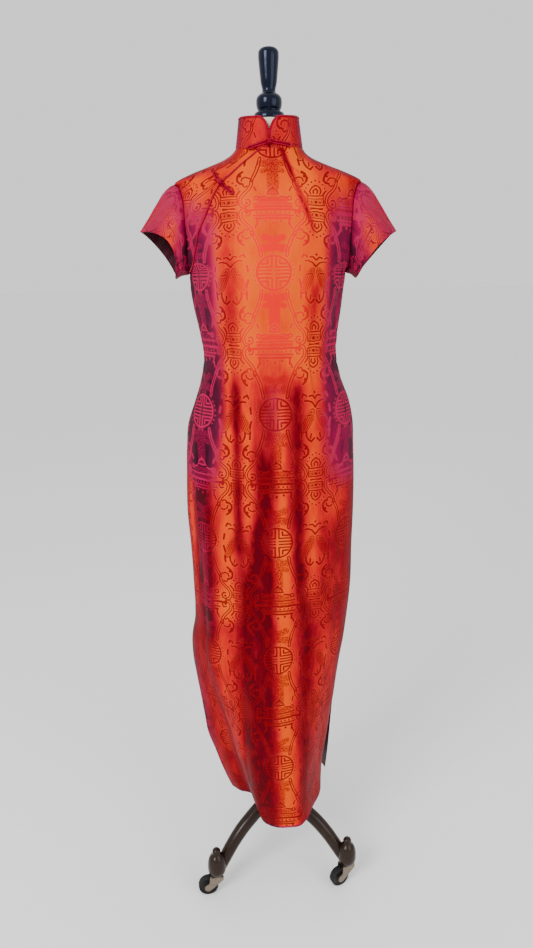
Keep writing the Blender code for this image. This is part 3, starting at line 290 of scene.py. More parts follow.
def smooth(knots, values, t):
    """Values at t on the smooth curve through the values at rising knots (Hermite, mean slopes)."""
    knots = np.asarray(knots, float)
    values = np.asarray(values, float)
    slopes = np.gradient(values, knots, axis=0)
    t = np.clip(t, knots[0], knots[-1])
    i = np.minimum(np.searchsorted(knots, t, side="right") - 1, len(knots) - 2)
    span = knots[i + 1] - knots[i]
    extra = (1,) * (values.ndim - 1)
    u = np.reshape((t - knots[i]) / span, np.shape(t) + extra)
    span = np.reshape(span, np.shape(t) + extra)
    rise = u * u * (3 - 2 * u)
    leave = u * (1 - u) ** 2 * span
    arrive = u * u * (u - 1) * span
    return values[i] * (1 - rise) + values[i + 1] * rise + slopes[i] * leave + slopes[i + 1] * arrive


def ramp(value, start, end):
    """0 at start, 1 at end, smooth between."""
    u = np.clip((value - start) / (end - start), 0.0, 1.0)
    return u * u * (3 - 2 * u)


def bump_at(value, centre, half_width):
    """1 at the centre, falling away smoothly."""
    return np.exp(-((value - centre) / half_width) ** 2)


def read_row(table, columns, z):
    """Named values of a table at z, smooth between its rows; its first column is z."""
    values = smooth([row[0] for row in table], [row[1:] for row in table], z)
    return dict(zip(columns[1:], np.moveaxis(values, -1, 0)))


def lengths_along(points):
    """How far along a line each of its points lies."""
    return np.concatenate(([0.0], np.cumsum(np.linalg.norm(np.diff(points, axis=0), axis=1))))


def unit(vectors):
    """The same directions, one long."""
    return vectors / np.linalg.norm(vectors, axis=1, keepdims=True)


def plan_point(plan, s):
    """Points of a hem plan at s from -1 to 1, by its length."""
    points = np.asarray(plan, float)
    knots = lengths_along(points)
    return smooth(knots, points, (s + 1) / 2 * knots[-1]).T


def fold_shift(folds, s, z):
    """How far the creases push the cloth in at s and z."""
    shift = np.zeros(np.broadcast(s, z).shape)
    for row in folds:
        fold = dict(zip(FOLD_COLUMNS, row))
        along = np.clip((fold["z_top"] - z) / (fold["z_top"] - fold["z_low"]), 0.0, 1.0)
        centre = fold["s_top"] + (fold["s_low"] - fold["s_top"]) * along
        fade = np.sin(math.pi * along) ** 0.7
        shift = shift + fold["depth"] * fade * bump_at(s, centre, fold["half_width"])
    return shift


def stress_shift(s, z):
    """How far the short level creases above the hips push the cloth in."""
    shift = np.zeros(np.broadcast(s, z).shape)
    for row in STRESSES:
        crease = dict(zip(STRESS_COLUMNS, row))
        height = crease["z"] + crease["slope"] * (s - crease["s"])
        across = bump_at(s, crease["s"], crease["reach"])
        shift = shift + crease["depth"] * across * bump_at(z, height, crease["half_width"])
    return shift


def lower_section(z, s, front):
    """Outer face of the skirt and body below the underarm, on the front or the back."""
    body_row = read_row(BODY_ROWS, BODY_COLUMNS, z)
    edges = body_row
    slit = min(max((SLIT_TOP_Z - z) / (SLIT_TOP_Z - HEM_Z), 0.0), 1.0) ** 2
    if front:
        mid_y = body_row["front_y"]
        plan = HEM_FRONT
        weight = ramp(z, HEM_BLEND_Z, HEM_Z)
    else:
        mid_y = body_row["back_y"]
        plan = HEM_BACK
        weight = slit
        if z < SLIT_TOP_Z:
            edges = read_row(BACK_EDGES, BACK_EDGE_COLUMNS, z)
    centre_x = (edges["right_x"] + edges["left_x"]) / 2
    half_width = (edges["left_x"] - edges["right_x"]) / 2
    hem_centre = (plan[0][0] + plan[-1][0]) / 2
    hem_half = (plan[-1][0] - plan[0][0]) / 2
    hem_x, hem_y = plan_point(plan, s)
    across = np.sin(s * math.pi / 2) * (1 - weight) + (hem_x - hem_centre) / hem_half * weight
    edge_y = plan[0][1] + (plan[-1][1] - plan[0][1]) * (s + 1) / 2
    deep = np.cos(s * math.pi / 2) * mid_y * (1 - weight) + (hem_y - edge_y) * weight + edge_y * slit
    return centre_x, centre_x + half_width * across, deep, np.full_like(s, z)


def upper_section(row, s, centre_x):
    """Outer face above the underarm, on one level of an upper table."""
    level = dict(zip(UPPER_COLUMNS, row))
    turn = math.radians(level["turn"])
    across = np.sin(turn * s) / math.sin(turn)
    inward = (np.cos(turn * s) - math.cos(turn)) / (1 - math.cos(turn))
    lift = np.sin(s * math.pi / 2) ** 2
    y = level["side_y"] + (level["mid_y"] - level["side_y"]) * inward
    z = level["mid_z"] + (level["side_z"] - level["mid_z"]) * lift
    return centre_x, centre_x + level["half_width"] * across, y, z


UNDERARM = len(BODY_ROWS) - 1
NECK = UNDERARM + len(UPPER_FRONT)
SHOULDER_TIP = UNDERARM + 7
LEAST_RADIUS = 0.02


def neck_shift(share):
    """Sideways shift of the middle over the last third of the way from the underarm to the neck."""
    return (NECK_CENTRE_X - UPPER_CENTRE_X) * max(share * 3 - 2, 0.0)


def level_points(level, s, front):
    """Points on the dress's outer face at one level, for an array of s."""
    s = np.asarray(s, float)
    if level <= UNDERARM:
        centre_x, x, y, z = lower_section(BODY_ROWS[level][0], s, front)
    else:
        rows = UPPER_FRONT if front else UPPER_BACK
        share = (level - UNDERARM) / (NECK - UNDERARM)
        centre = (BODY_ROWS[-1][1] + BODY_ROWS[-1][2]) / 2
        centre += (UPPER_CENTRE_X - centre) * min(share * 3, 1.0)
        centre_x, x, y, z = upper_section(rows[level - UNDERARM - 1], s, centre + neck_shift(share))
    inward = fold_shift(FRONT_FOLDS if front else BACK_FOLDS, s, z)
    away = np.hypot(x - centre_x, y)
    scale = 1 - inward / np.maximum(away, LEAST_RADIUS)
    return np.stack((centre_x + (x - centre_x) * scale, y * scale, z), axis=-1)


class Face:
    """The dress's outer face on one side, as a smooth sheet read by height along it and s."""

    COLUMNS = 241

    def __init__(self, front):
        self.front = front
        self.s = np.linspace(-1.0, 1.0, self.COLUMNS)
        self.levels = np.stack([level_points(level, self.s, front) for level in range(NECK + 1)])
        middle = self.levels[:, self.COLUMNS // 2]
        self.knots = lengths_along(middle)
        self.length = self.knots[-1]

    def height(self, level):
        """Height along the cloth of a level number, which may lie between levels."""
        return np.interp(level, np.arange(NECK + 1), self.knots)

    def rows(self, heights, s):
        """Points for each height (rows) and that row's own array of s (rows by columns)."""
        fine = smooth(self.knots, self.levels, heights)
        place = (np.clip(s, -1.0, 1.0) + 1) / 2 * (self.COLUMNS - 1)
        i = np.minimum(place.astype(int), self.COLUMNS - 2)
        share = (place - i)[..., None]
        row = np.arange(len(heights))[:, None]
        return fine[row, i] * (1 - share) + fine[row, i + 1] * share

    def opening_s(self):
        """Where the front's slanting edge stands on each level, as s."""
        edges = []
        for level in range(NECK + 1):
            z = BODY_ROWS[level][0] if level <= UNDERARM else UPPER_FRONT[level - UNDERARM - 1][0]
            inside = self.s <= OPENING_INNER_S
            if z <= OPENING[0][0]:
                edges.append(-1.0)
            else:
                x = read_row(OPENING, OPENING_COLUMNS, z)["x"]
                edges.append(float(np.interp(x, self.levels[level][inside, 0], self.s[inside])))
        return np.array(edges)

    def place(self, x, z):
        """Point and outward direction at a place seen from the front."""
        heights = np.linspace(self.height(UNDERARM - 1), self.length, 400)
        s = np.linspace(-1.0, 1.0, 301)
        points = self.rows(heights, np.tile(s, (len(heights), 1)))
        miss = (points[..., 0] - x) ** 2 + (points[..., 2] - z) ** 2
        i, j = np.unravel_index(np.argmin(miss), miss.shape)
        i = min(max(i, 2), len(heights) - 3)
        across = points[i, j + 2] - points[i, j - 2]
        up = points[i + 2, j] - points[i - 2, j]
        out = Vector(np.cross(across, up)).normalized()
        return Vector(points[i, j]), out if out.y < 0 else -out


FRONT = Face(True)
BACK = Face(False)


# ---------------------------------------------------------------- making meshes


def collection():
    """The object's collection, made on first use."""
    found = bpy.data.collections.get("cheongsam_looks")
    if found is None:
        found = bpy.data.collections.new("cheongsam_looks")
        bpy.context.scene.collection.children.link(found)
    return found


def remove_old(name):
    """Take away a piece made earlier under the same name."""
    old = bpy.data.objects.get(name)
    if old is not None:
        bpy.data.objects.remove(old)


def add_piece(name, data, body, materials, stands_for=(), place=AXIS, turn=0.0, smooth_angle=40.0):
    """New object from a mesh or curve, riding on a body, in place of its CAD nodes."""
    remove_old(name)
    thing = bpy.data.objects.new(name, data)
    collection().objects.link(thing)
    thing.matrix_world = Matrix.Translation(place) @ Matrix.Rotation(turn, 4, "Z")
    if not data.materials:
        for material in materials:
            data.materials.append(material)
    if isinstance(data, bpy.types.Mesh):
        data.shade_smooth()
        if smooth_angle < 180.0:
            data.set_sharp_from_angle(angle=math.radians(smooth_angle))
    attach(thing, body)
    if stands_for:
        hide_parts(*stands_for)
    return thing


def normals_of(points, wrap=False):
    """Outward directions on a grid of points whose rows rise and whose columns run to +X in front."""
    if wrap:
        across = np.roll(points, -1, axis=1) - np.roll(points, 1, axis=1)
    else:
        across = np.gradient(points, axis=1)
    up = np.gradient(points, axis=0)
    out = np.cross(across, up)
    return out / np.maximum(np.linalg.norm(out, axis=-1, keepdims=True), 1e-9)


def grid_mesh(name, points, cloth=None, shot=None, wrap=False):
    """Sheet through a grid of points, with its place on the flat cloth and its shot colour of painted sheen and shade.
    """
    rows, columns = points.shape[:2]
    across = columns if wrap else columns - 1
    i, j = np.meshgrid(np.arange(rows - 1), np.arange(across), indexing="ij")
    corners = ((i, j), (i, j + 1), (i + 1, j + 1), (i + 1, j))
    faces = np.stack([a * columns + b % columns for a, b in corners], axis=-1).reshape(-1, 4)
    mesh = bpy.data.meshes.new(name)
    mesh.from_pydata(points.reshape(-1, 3).tolist(), [], faces.tolist())
    if cloth is not None:
        flat = np.stack([cloth[a, b] for a, b in corners], axis=2)
        layer = mesh.uv_layers.new(name="cloth")
        layer.data.foreach_set("uv", flat.reshape(-1).astype(np.float32))
    if shot is not None:
        colours = np.ones((rows * columns, 4), np.float32)
        colours[:, :3] = shot.reshape(-1, 3)
        layer = mesh.color_attributes.new(name="shot", type="FLOAT_COLOR", domain="POINT")
        layer.data.foreach_set("color", colours.reshape(-1))
    mesh.update()
    return mesh


def add_wall(thing, thickness):
    """Give a sheet its thickness, inwards, with its lining on the inner side."""
    wall = thing.modifiers.new("wall", "SOLIDIFY")
    wall.thickness = thickness
    wall.offset = -1.0
    wall.material_offset = 1
    wall.material_offset_rim = 0
    return thing


def mesh_from(shape, name):
    """A mesh of a shape that has been built up."""
    mesh = bpy.data.meshes.new(name)
    shape.to_mesh(mesh)
    shape.free()
    return mesh


def turned_mesh(name, profile, sides=64, finer=1):
    """Turned piece: a profile of (radius, z) from the top down its outer side."""
    outline = np.asarray(profile, float)
    if finer > 1:
        knots = lengths_along(outline)
        t = np.interp(np.arange((len(outline) - 1) * finer + 1) / finer, np.arange(len(outline)), knots)
        outline = smooth(knots, outline, t)
    turns = np.linspace(0.0, 2 * math.pi, sides, endpoint=False)
    rings = [[(max(r, 0.0) * math.sin(a), -max(r, 0.0) * math.cos(a), z) for a in turns]
             for r, z in outline[::-1]]
    mesh = grid_mesh(name, np.array(rings), wrap=True)
    shape = bmesh.new()
    shape.from_mesh(mesh)
    bmesh.ops.remove_doubles(shape, verts=shape.verts, dist=1e-6)
    bmesh.ops.recalc_face_normals(shape, faces=shape.faces)
    shape.to_mesh(mesh)
    shape.free()
    return mesh


def cord_curve(name, points, radius, radii=None, closed=False, sides=3):
    """Round cord or bar through points."""
    curve = bpy.data.curves.new(name, "CURVE")
    curve.dimensions = "3D"
    curve.bevel_depth = radius
    curve.bevel_resolution = sides
    curve.use_fill_caps = True
    line = curve.splines.new("POLY")
    line.points.add(len(points) - 1)
    line.use_cyclic_u = closed
    line.use_smooth = True
    for i, (knot, point) in enumerate(zip(line.points, points)):
        knot.co = (*point, 1.0)
        knot.radius = 1.0 if radii is None else radii[i] / radius
    return curve


def finer_route(points, count):
    """The smooth route through points, at count even steps."""
    points = np.asarray([tuple(point) for point in points], float)
    knots = lengths_along(points)
    return smooth(knots, points, np.linspace(0.0, knots[-1], count))


# ---------------------------------------------------------------- finishes


def linear(code):
    """Linear colour from an sRGB hex code."""
    parts = [int(code[i:i + 2], 16) / 255 for i in (1, 3, 5)]
    return tuple(v / 12.92 if v <= 0.04045 else ((v + 0.055) / 1.055) ** 2.4 for v in parts)


def add_node(tree, kind, *inputs, **settings):
    """Add a node; its inputs come in the order in which it shows them, or by name in a dict.

    Each input is a value, a socket, or a node, whose first output in use is linked.
    """
    made = tree.nodes.new(kind)
    for name, value in settings.items():
        setattr(made, name, value)
    named = inputs[0] if inputs and isinstance(inputs[0], dict) else {}
    shown = zip((socket for socket in made.inputs if socket.enabled), () if named else inputs)
    for socket, value in [*shown, *((made.inputs[name], value) for name, value in named.items())]:
        if isinstance(value, bpy.types.Node):
            value = next(output for output in value.outputs if output.enabled)
        if isinstance(value, bpy.types.NodeSocket):
            tree.links.new(value, socket)
        else:
            socket.default_value = (*value, 1.0) if socket.type == "RGBA" and len(value) == 3 else value
    return made


def finish(recipe, *values):
    """The material that a recipe makes from these values, made again only when they change."""
    values = [value if isinstance(value, float) else tuple(value) for value in values]
    name = recipe.__name__
    material = bpy.data.materials.get(name) or bpy.data.materials.new(name)
    if material.get("made_from") != repr(values):
        material["made_from"] = repr(values)
        material.use_nodes = True
        tree = material.node_tree
        tree.nodes.clear()
        shader = add_node(tree, "ShaderNodeBsdfPrincipled", recipe(partial(add_node, tree), *values))
        add_node(tree, "ShaderNodeOutputMaterial", shader)
    return material


MATH = "ShaderNodeMath"
VECTOR = "ShaderNodeVectorMath"
MIX = "ShaderNodeMix"
RANGE = "ShaderNodeMapRange"
NOISE = "ShaderNodeTexNoise"
WAVE = "ShaderNodeTexWave"
SPLIT = "ShaderNodeSeparateXYZ"
SHADES = "ShaderNodeValToRGB"
BANDS = 3.2                   # that a wave pattern draws in one unit at scale 1

# The brocade's repeat, in metres: from one column of roundels to the next, and down a column.
REPEAT_ACROSS = 0.150
REPEAT_DOWN = 0.243
LANTERN_DOWN = 124.0          # from a roundel's middle to the middle of the lantern below it
SCROLL_ACROSS = 47.0          # the scrolls' middle line, from the roundels' column
CARP_BODY = (15.5, 14.0, 2.1, 0.42)    # middle across and down, how much narrower than long, and lean
SCALES_SPOT = (((0, 2),), 0, 20.0)     # where a carp's body has scales, as a woven shape
SCALE_STEP = 4.4              # between a carp's scales, in mm

# Ground colours from painted shade in a fold's depth to painted highlight at its crest, each below the setting's own
# brightest colour.
WARP_SHADES = ((0.0, "#4E0610"), (0.24, "#800A1A"), (0.48, "#B01216"), (0.74, "#CC3C00"))
WEFT_SHADES = ((0.0, "#2C0C1A"), (0.30, "#4E142C"), (0.65, "#8A063C"))

# Woven lines by their place in the repeat, in mm, x from the column and y down: points, radius, half width
# and the side of an arc that is woven. One point is a ring, or a spot where radius is 0; more points are a
# stem, or a double one where radius isn't 0.
FIGURE_LINES = {
    "roundel": (
        (((0, 0),), 28.8, 1.7), (((3.4, 2.8), (28, 2.8)), 0, 1.4), (((3.4, 8.9), (27, 8.9)), 0, 1.5),
        (((3.6, 8.9), (3.6, 28)), 0, 1.6), (((20.5, 14.8), (10, 14.8), (10, 22)), 0, 1.7),
        (((33.8, 5),), 0, 1.5), (((31.8, 12.6),), 0, 1.5), (((28, 19.4),), 0, 1.4), (((4.5, 33.8),), 0, 1.3),
        (((21.5, 30), (24, 44), (28.5, 58), (36, 73)), 2.3, 1.15)),
    "scroll": (
        (((-11, 50), (-10.5, 42), (-6, 34), (1, 27), (6.5, 20), (8.6, 12), (6, 4), (0, 1.6)), 2.3, 1.1),
        (((0, 2), (-7.5, 4.5), (-9.2, 10), (-6.5, 15.5), (-1.5, 14.5)), 0, 1.4), (((-2.6, 8.8),), 0, 2.7),
        (((3.7, 68), (9.5, 63.5), (13, 57), (13, 50), (9, 45.5), (3.5, 44)), 0, 2.1),
        (((-0.5, 42.5),), 3.6, 1.4, (0, -1)), (((5.8, 50), (4, 55), (-1.5, 57.5), (-7.5, 55.5)), 0, 1.5),
        (((8, 60),), 0, 3.0), (((14.5, 24), (8.5, 31)), 0, 1.6), (((13.6, 11.5),), 0, 1.7),
        (((-16, 38), (-19, 31)), 0, 1.6)),
    "body": ((((0, 0),), 21.0, 1.0), (((-6, -11), (13, -9)), 0, 1.2), (((1, -16),), 0, 2.6)),
    "carp": (
        (((19, 33), (18.5, 41), (14, 49), (8.5, 52), (3, 46.5)), 0, 1.9), (((9, 38), (10.5, 46)), 0, 1.5),
        (((29.5, -12), (31, -2)), 0, 2.0), (((31, 12), (28, 24)), 0, 1.9), (((29, 32), (27.5, 44)), 0, 1.9),
        (((0, -10), (7, -19), (15, -22.5), (21, -22)), 0, 1.7), (((22, -28),), 4.6, 1.5, (0, -1)),
        (((26.5, -28), (24, -34)), 0, 1.7), (((0, -25), (6, -31), (12, -30)), 0, 1.6), (((0, -36),), 0, 2.3)),
    "pearl": (
        (((0, 50),), 0, 1.8), (((7.2, 47),), 0, 1.8), (((12.8, 42),), 0, 1.7), (((16.5, 35.5),), 0, 1.6),
        (((0, 41), (7, 36.5), (10, 30), (8, 25)), 0, 1.4), (((0, 34.5), (4, 30.5), (3, 26)), 0, 1.4),
        (((0, 21.5), (15, 21.5)), 0, 1.2), (((0, 16.4), (13, 16.4)), 0, 0.8), (((14.5, 19), (14.5, 8)), 0, 1.1),
        (((0, 11),), 0, 2.7), (((7.5, 11),), 0, 1.6), (((0, 5), (15, 6.5)), 0, 1.1), (((0, 0), (11, 1)), 0, 1.0)),
    "lantern": (
        (((0, -26),), 8.6, 1.4, (0, -1)), (((0, -37),), 0, 2.2), (((0, -24.5), (10.5, -24.5)), 0, 1.3),
        (((12, -20.5), (24, -18)), 0, 1.4), (((28, -17),), 3.4, 1.3), (((0, -7), (33, -7)), 0, 1.4),
        (((0, 4.5), (38, 4.5), (46, 7)), 0, 2.2), (((0, 15), (34, 15)), 0, 1.2),
        *((((x, 10),), 0, 1.9) for x in (4, 12, 20, 28)), (((0, 21), (29, 21)), 0, 1.6),
        (((27, 23), (26, 31)), 0, 1.9), (((13, 26),), 0, 2.4), (((0, 29),), 0, 2.6)),
}
FIGURE_FILLS = {
    "ribbon": (
        (((0, 37), (0, 86)), 0, 10.0), (((0, 43), (20, 40)), 0, 6.5), (((0, 50), (17, 55)), 0, 4.6),
        (((0, 52), (0, 77)), 0, 2.6), (((0, -45), (20, -42)), 0, 7.0), (((0, -56), (15, -63)), 0, 6.0)),
    "lantern": (
        (((0, -29),), 0, 8.0), (((0, -14), (21, -14)), 0, 6.0), (((0, -1), (28, -1)), 0, 4.6),
        (((0, 17), (27, 17)), 0, 5.0)),
    "pearl": ((((0, 11), (10, 11)), 0, 4.0),),
}


def woven_distance(add, place, points, radius, half_width, keep=None):
    """Signed distance in mm from a place on the cloth to one woven shape."""
    distance = None
    for start, end in zip(points, points[1:] or points):
        along = Vector((end[0] - start[0], end[1] - start[1], 0.0))
        if along.length == 0.0:
            near = add(VECTOR, place, (*start, 0.0), operation="DISTANCE")
        else:
            gone = add(VECTOR, place, (*start, 0.0), operation="SUBTRACT")
            share = add(VECTOR, gone, along / along.length_squared, operation="DOT_PRODUCT")
            foot = add(VECTOR, along, add("ShaderNodeClamp", share), operation="SCALE")
            near = add(VECTOR, gone, foot, operation="DISTANCE")
        distance = near if distance is None else add(MATH, distance, near, operation="MINIMUM")
    if radius:
        distance = add(MATH, add(MATH, distance, radius, operation="SUBTRACT"), operation="ABSOLUTE")
    distance = add(MATH, distance, half_width, operation="SUBTRACT")
    if keep:
        middle = keep[0] * points[0][0] + keep[1] * points[0][1]
        past = add(VECTOR, place, (-keep[0], -keep[1], 0.0), operation="DOT_PRODUCT")
        past = add(MATH, past, middle, operation="ADD")
        distance = add(MATH, distance, past, operation="MAXIMUM")
    return distance


def woven_places(add, across, up, repeat_across, repeat_down):
    """Where a spot on the cloth lies in each part of the repeat, folded over its mirror lines."""
    half = repeat_across / 2
    x = add(MATH, add(MATH, across, half, -half, operation="WRAP"), operation="ABSOLUTE")
    from_b = add(MATH, half, x, operation="SUBTRACT")
    down = add(MATH, up, -1.0, operation="MULTIPLY")
    y = add(MATH, down, repeat_down / 2, -repeat_down / 2, operation="WRAP")
    y_fold = add(MATH, y, operation="ABSOLUTE")
    below = add(MATH, down, LANTERN_DOWN, operation="SUBTRACT")
    z = add(MATH, below, repeat_down / 2, -repeat_down / 2, operation="WRAP")
    z_fold = add(MATH, z, operation="ABSOLUTE")
    beside = add(MATH, x, SCROLL_ACROSS, operation="SUBTRACT")
    body_x, body_y, narrow, lean = CARP_BODY
    fish_y = add(MATH, y, body_y, operation="SUBTRACT")
    leant = add(MATH, fish_y, lean, body_x, operation="MULTIPLY_ADD")
    fish_x = add(MATH, from_b, leant, operation="SUBTRACT")
    fish_x = add(MATH, fish_x, narrow, operation="MULTIPLY")
    pairs = {"roundel": (x, y_fold), "ribbon": (x, y), "scroll": (beside, z_fold), "body": (fish_x, fish_y),
             "carp": (from_b, y), "pearl": (from_b, z_fold), "lantern": (x, z)}
    return {name: add("ShaderNodeCombineXYZ", *pair) for name, pair in pairs.items()}


def woven_area(add, places, figure):
    """Distance in mm to the nearest of the woven shapes."""
    nearest = None
    for part, shapes in figure.items():
        for shape in shapes:
            distance = woven_distance(add, places[part], *shape)
            nearest = distance if nearest is None else add(MATH, nearest, distance, operation="MINIMUM")
    return nearest


def fill_ramp(node, shades, brightest):
    """Give a node its colour stops from places and hex colours, and its last from a linear colour."""
    stops = [(place, linear(code)) for place, code in shades] + [(1.0, brightest)]
    elements = node.color_ramp.elements
    while len(elements) < len(stops):
        elements.new(0.5)
    for element, (place, colour) in zip(elements, stops):
        element.position = place
        element.color = (*colour, 1.0)
    return node


def figured_shot_silk(add, warp, weft, figure, repeat_across, repeat_down):
    """Figured satin, its warp orange and its weft magenta; where the ground turns from one to the other is painted
    sheen.

    The shot attribute paints light into the colour: how orange (red: painted highlight of the warp), how
    magenta (green: painted sheen of the weft) and how light in its figure (blue: painted highlight on
    the figure) the cloth is. The figure is woven in weft, darker than a bright ground and edged with a
    lighter line where warp and weft change over, which shows with the painted highlight.
    """
    flat = add(VECTOR, add("ShaderNodeUVMap", uv_map="cloth"), (1000.0, 1000.0, 0.0), operation="MULTIPLY")
    # Hand of the weave: the figure's edges wander by under a millimetre.
    wander = add(NOISE, flat, 0.09, 2.0).outputs["Color"]
    wander = add(VECTOR, wander, (0.5, 0.5, 0.5), operation="SUBTRACT")
    wander = add(VECTOR, wander, 2.4, operation="SCALE")
    place = add(SPLIT, add(VECTOR, flat, wander, operation="ADD"))
    places = woven_places(add, place.outputs["X"], place.outputs["Y"], repeat_across * 1000, repeat_down * 1000)
    line_at = woven_area(add, places, FIGURE_LINES)
    fill_at = woven_area(add, places, FIGURE_FILLS)
    line = add(RANGE, line_at, 0.45, -0.45, interpolation_type="SMOOTHSTEP")
    edge = add(RANGE, line_at, 2.2, 0.8, interpolation_type="SMOOTHSTEP")
    edge = add(MATH, edge, line, operation="SUBTRACT", use_clamp=True)
    speck = add(RANGE, add(NOISE, flat, 0.42, 2.0, 0.6), 0.40, 0.58)
    fill = add(RANGE, fill_at, 1.6, -1.6, interpolation_type="SMOOTHSTEP")

    shot = add("ShaderNodeSeparateColor", add("ShaderNodeAttribute", attribute_name="shot"))
    orange, magenta, light = (shot.outputs[name] for name in ("Red", "Green", "Blue"))
    # Satin floats: fine streaks along the warp, drawn 1 mm wide so that they show.
    streak = add(NOISE, add(VECTOR, flat, (0.9, 0.03, 1.0), operation="MULTIPLY"), 1.0, 3.0)
    cloud = add(NOISE, add(VECTOR, flat, (1.0, 0.4, 1.0), operation="MULTIPLY"), 0.035, 5.0, 0.65)
    stir = add(MATH, cloud, 0.8, -0.40, operation="MULTIPLY_ADD")
    stir = add(MATH, streak, 0.30, stir, operation="MULTIPLY_ADD")
    # The painted highlight, stirred by the cloth's streaks and clouds.
    glow = add(MATH, orange, stir, operation="ADD")
    glow = add(MATH, glow, 0.15, operation="SUBTRACT", use_clamp=True)
    # Painted shade in the folds to painted highlight on the crests, in warp and in weft colours.
    ground = fill_ramp(add(SHADES, glow), WARP_SHADES, warp)
    turned_ground = fill_ramp(add(SHADES, glow), WEFT_SHADES, weft)
    # The painted sheen's turn from warp to weft is ragged, as it follows the cloth's small waves.
    turned = add(MATH, magenta, stir, operation="ADD")
    turned = add(RANGE, turned, 0.18, 1.0, interpolation_type="SMOOTHSTEP")
    ground = add(MIX, turned, ground, turned_ground, data_type="RGBA")
    woven = add(MIX, light, figure, linear("#D40A10"), data_type="RGBA")
    # The figure turns pinker with the painted magenta sheen.
    pinker = add(MATH, turned, 0.80, operation="MULTIPLY")
    woven = add(MIX, pinker, woven, linear("#B00A4C"), data_type="RGBA")
    # The lighter change-over line round the figure, shown below only where the painted highlight is.
    rim = add(MIX, 0.55, ground, linear("#DC6430"), data_type="RGBA")
    solid = add(MATH, speck, light, operation="MAXIMUM")
    fill = add(MATH, fill, solid, operation="MULTIPLY")
    # Rows of scales on each carp's body.
    body_at = woven_distance(add, places["body"], *SCALES_SPOT)
    rows = add(VECTOR, places["body"], 2 * math.pi / SCALE_STEP, operation="SCALE")
    rows = add(VECTOR, rows, (0.55, 1.0, 0.0), operation="MULTIPLY")
    rows = add(SPLIT, add(VECTOR, rows, operation="SINE"))
    scales = add(MATH, rows.outputs["X"], rows.outputs["Y"], operation="MULTIPLY")
    scales = add(RANGE, scales, -0.22, 0.02)
    scales = add(MATH, scales, add(RANGE, body_at, 0.6, -0.6), operation="MULTIPLY")
    fill = add(MATH, fill, scales, operation="MAXIMUM")
    # The figure fills less where the painted magenta sheen is.
    paler = add(MATH, magenta, -0.45, 0.92, operation="MULTIPLY_ADD")
    fill = add(MATH, fill, paler, operation="MULTIPLY")
    base = add(MIX, fill, ground, woven, data_type="RGBA")
    # The change-over line shows in step with the painted highlight.
    edge = add(MATH, add(MATH, edge, glow, operation="MULTIPLY"), 0.42, operation="MULTIPLY")
    base = add(MIX, edge, base, rim, data_type="RGBA")
    core = add(MATH, line, 0.92, operation="MULTIPLY")
    base = add(MIX, core, base, woven, data_type="RGBA")
    matt = add(MATH, line, 0.12, 0.42, operation="MULTIPLY_ADD")
    return surface(add, base, streak, 0.35, 0.0003, Roughness=matt, IOR=1.35, Specular_IOR_Level=0.05,
                   Specular_Tint=linear("#FF5030"), Anisotropic=0.5)


def in_millimetres(add):
    """Places on a piece from its own origin, in mm."""
    return add(VECTOR, add("ShaderNodeTexCoord").outputs["Object"], 1000.0, operation="SCALE")


def shades_of(colour, low, high):
    """A colour's darkest and lightest shades, as shares of it."""
    return [tuple(min(part * much, 1.0) for part in colour) for much in (low, high)]


def surface(add, colour, pattern, strength, depth, **sockets):
    """What the shader takes: a colour, a pattern pressed in to a depth in metres, and its own sockets' values."""
    relief = add("ShaderNodeBump", {"Strength": strength, "Distance": depth, "Height": pattern})
    return {"Base Color": colour, "Normal": relief,
            **{name.replace("_", " "): value for name, value in sockets.items()}}


def acetate_lining(add, lining):
    """Acetate twill lining, woven: a fine diagonal rib and a dull plum face that swallows light."""
    place = in_millimetres(add)
    # Twill ribs are 0.4 mm apart, drawn at 1.5 mm so that they show.
    turned = add("ShaderNodeMapping", {"Vector": place, "Rotation": (0.0, math.radians(50), 0.0)})
    rib = add(WAVE, turned, 1 / (1.5 * BANDS), 0.4, 1.0, bands_direction="X").outputs["Fac"]
    mixed = add(MATH, rib, 0.4, add(NOISE, place, 0.05, 3.0), operation="MULTIPLY_ADD")
    colour = add(MIX, mixed, *shades_of(lining, 0.55, 1.25), data_type="RGBA")
    return surface(add, colour, rib, 0.4, 0.0002, Roughness=0.5, IOR=1.47,
                   Specular_IOR_Level=0.15)


def bias_cut_crimson_satin(add, satin):
    """Rayon satin cut on the bias round a cord: a slanting rib that catches light in short streaks."""
    place = in_millimetres(add)
    # Bias threads cross the cord at 45 degrees; 0.3 mm apart, drawn at 1.2 mm so that they show.
    turned = add("ShaderNodeMapping", {"Vector": place, "Rotation": (0.3, math.radians(45), 0.6)})
    rib = add(WAVE, turned, 1 / (1.2 * BANDS), 0.8, 1.0, bands_direction="X").outputs["Fac"]
    mixed = add(MATH, rib, 0.45, add(NOISE, place, 0.12, 3.0), operation="MULTIPLY_ADD")
    mixed = add(MATH, mixed, 0.25, operation="SUBTRACT", use_clamp=True)
    # The rib's short streaks of light are painted highlight in the colour, over the rib's relief.
    colour = add(MIX, mixed, *shades_of(satin, 0.45, 1.35), data_type="RGBA")
    return surface(add, colour, rib, 0.5, 0.0003, Roughness=0.45, IOR=1.53,
                   Specular_IOR_Level=0.14, Anisotropic=0.4, Specular_Tint=linear("#FF6A80"))


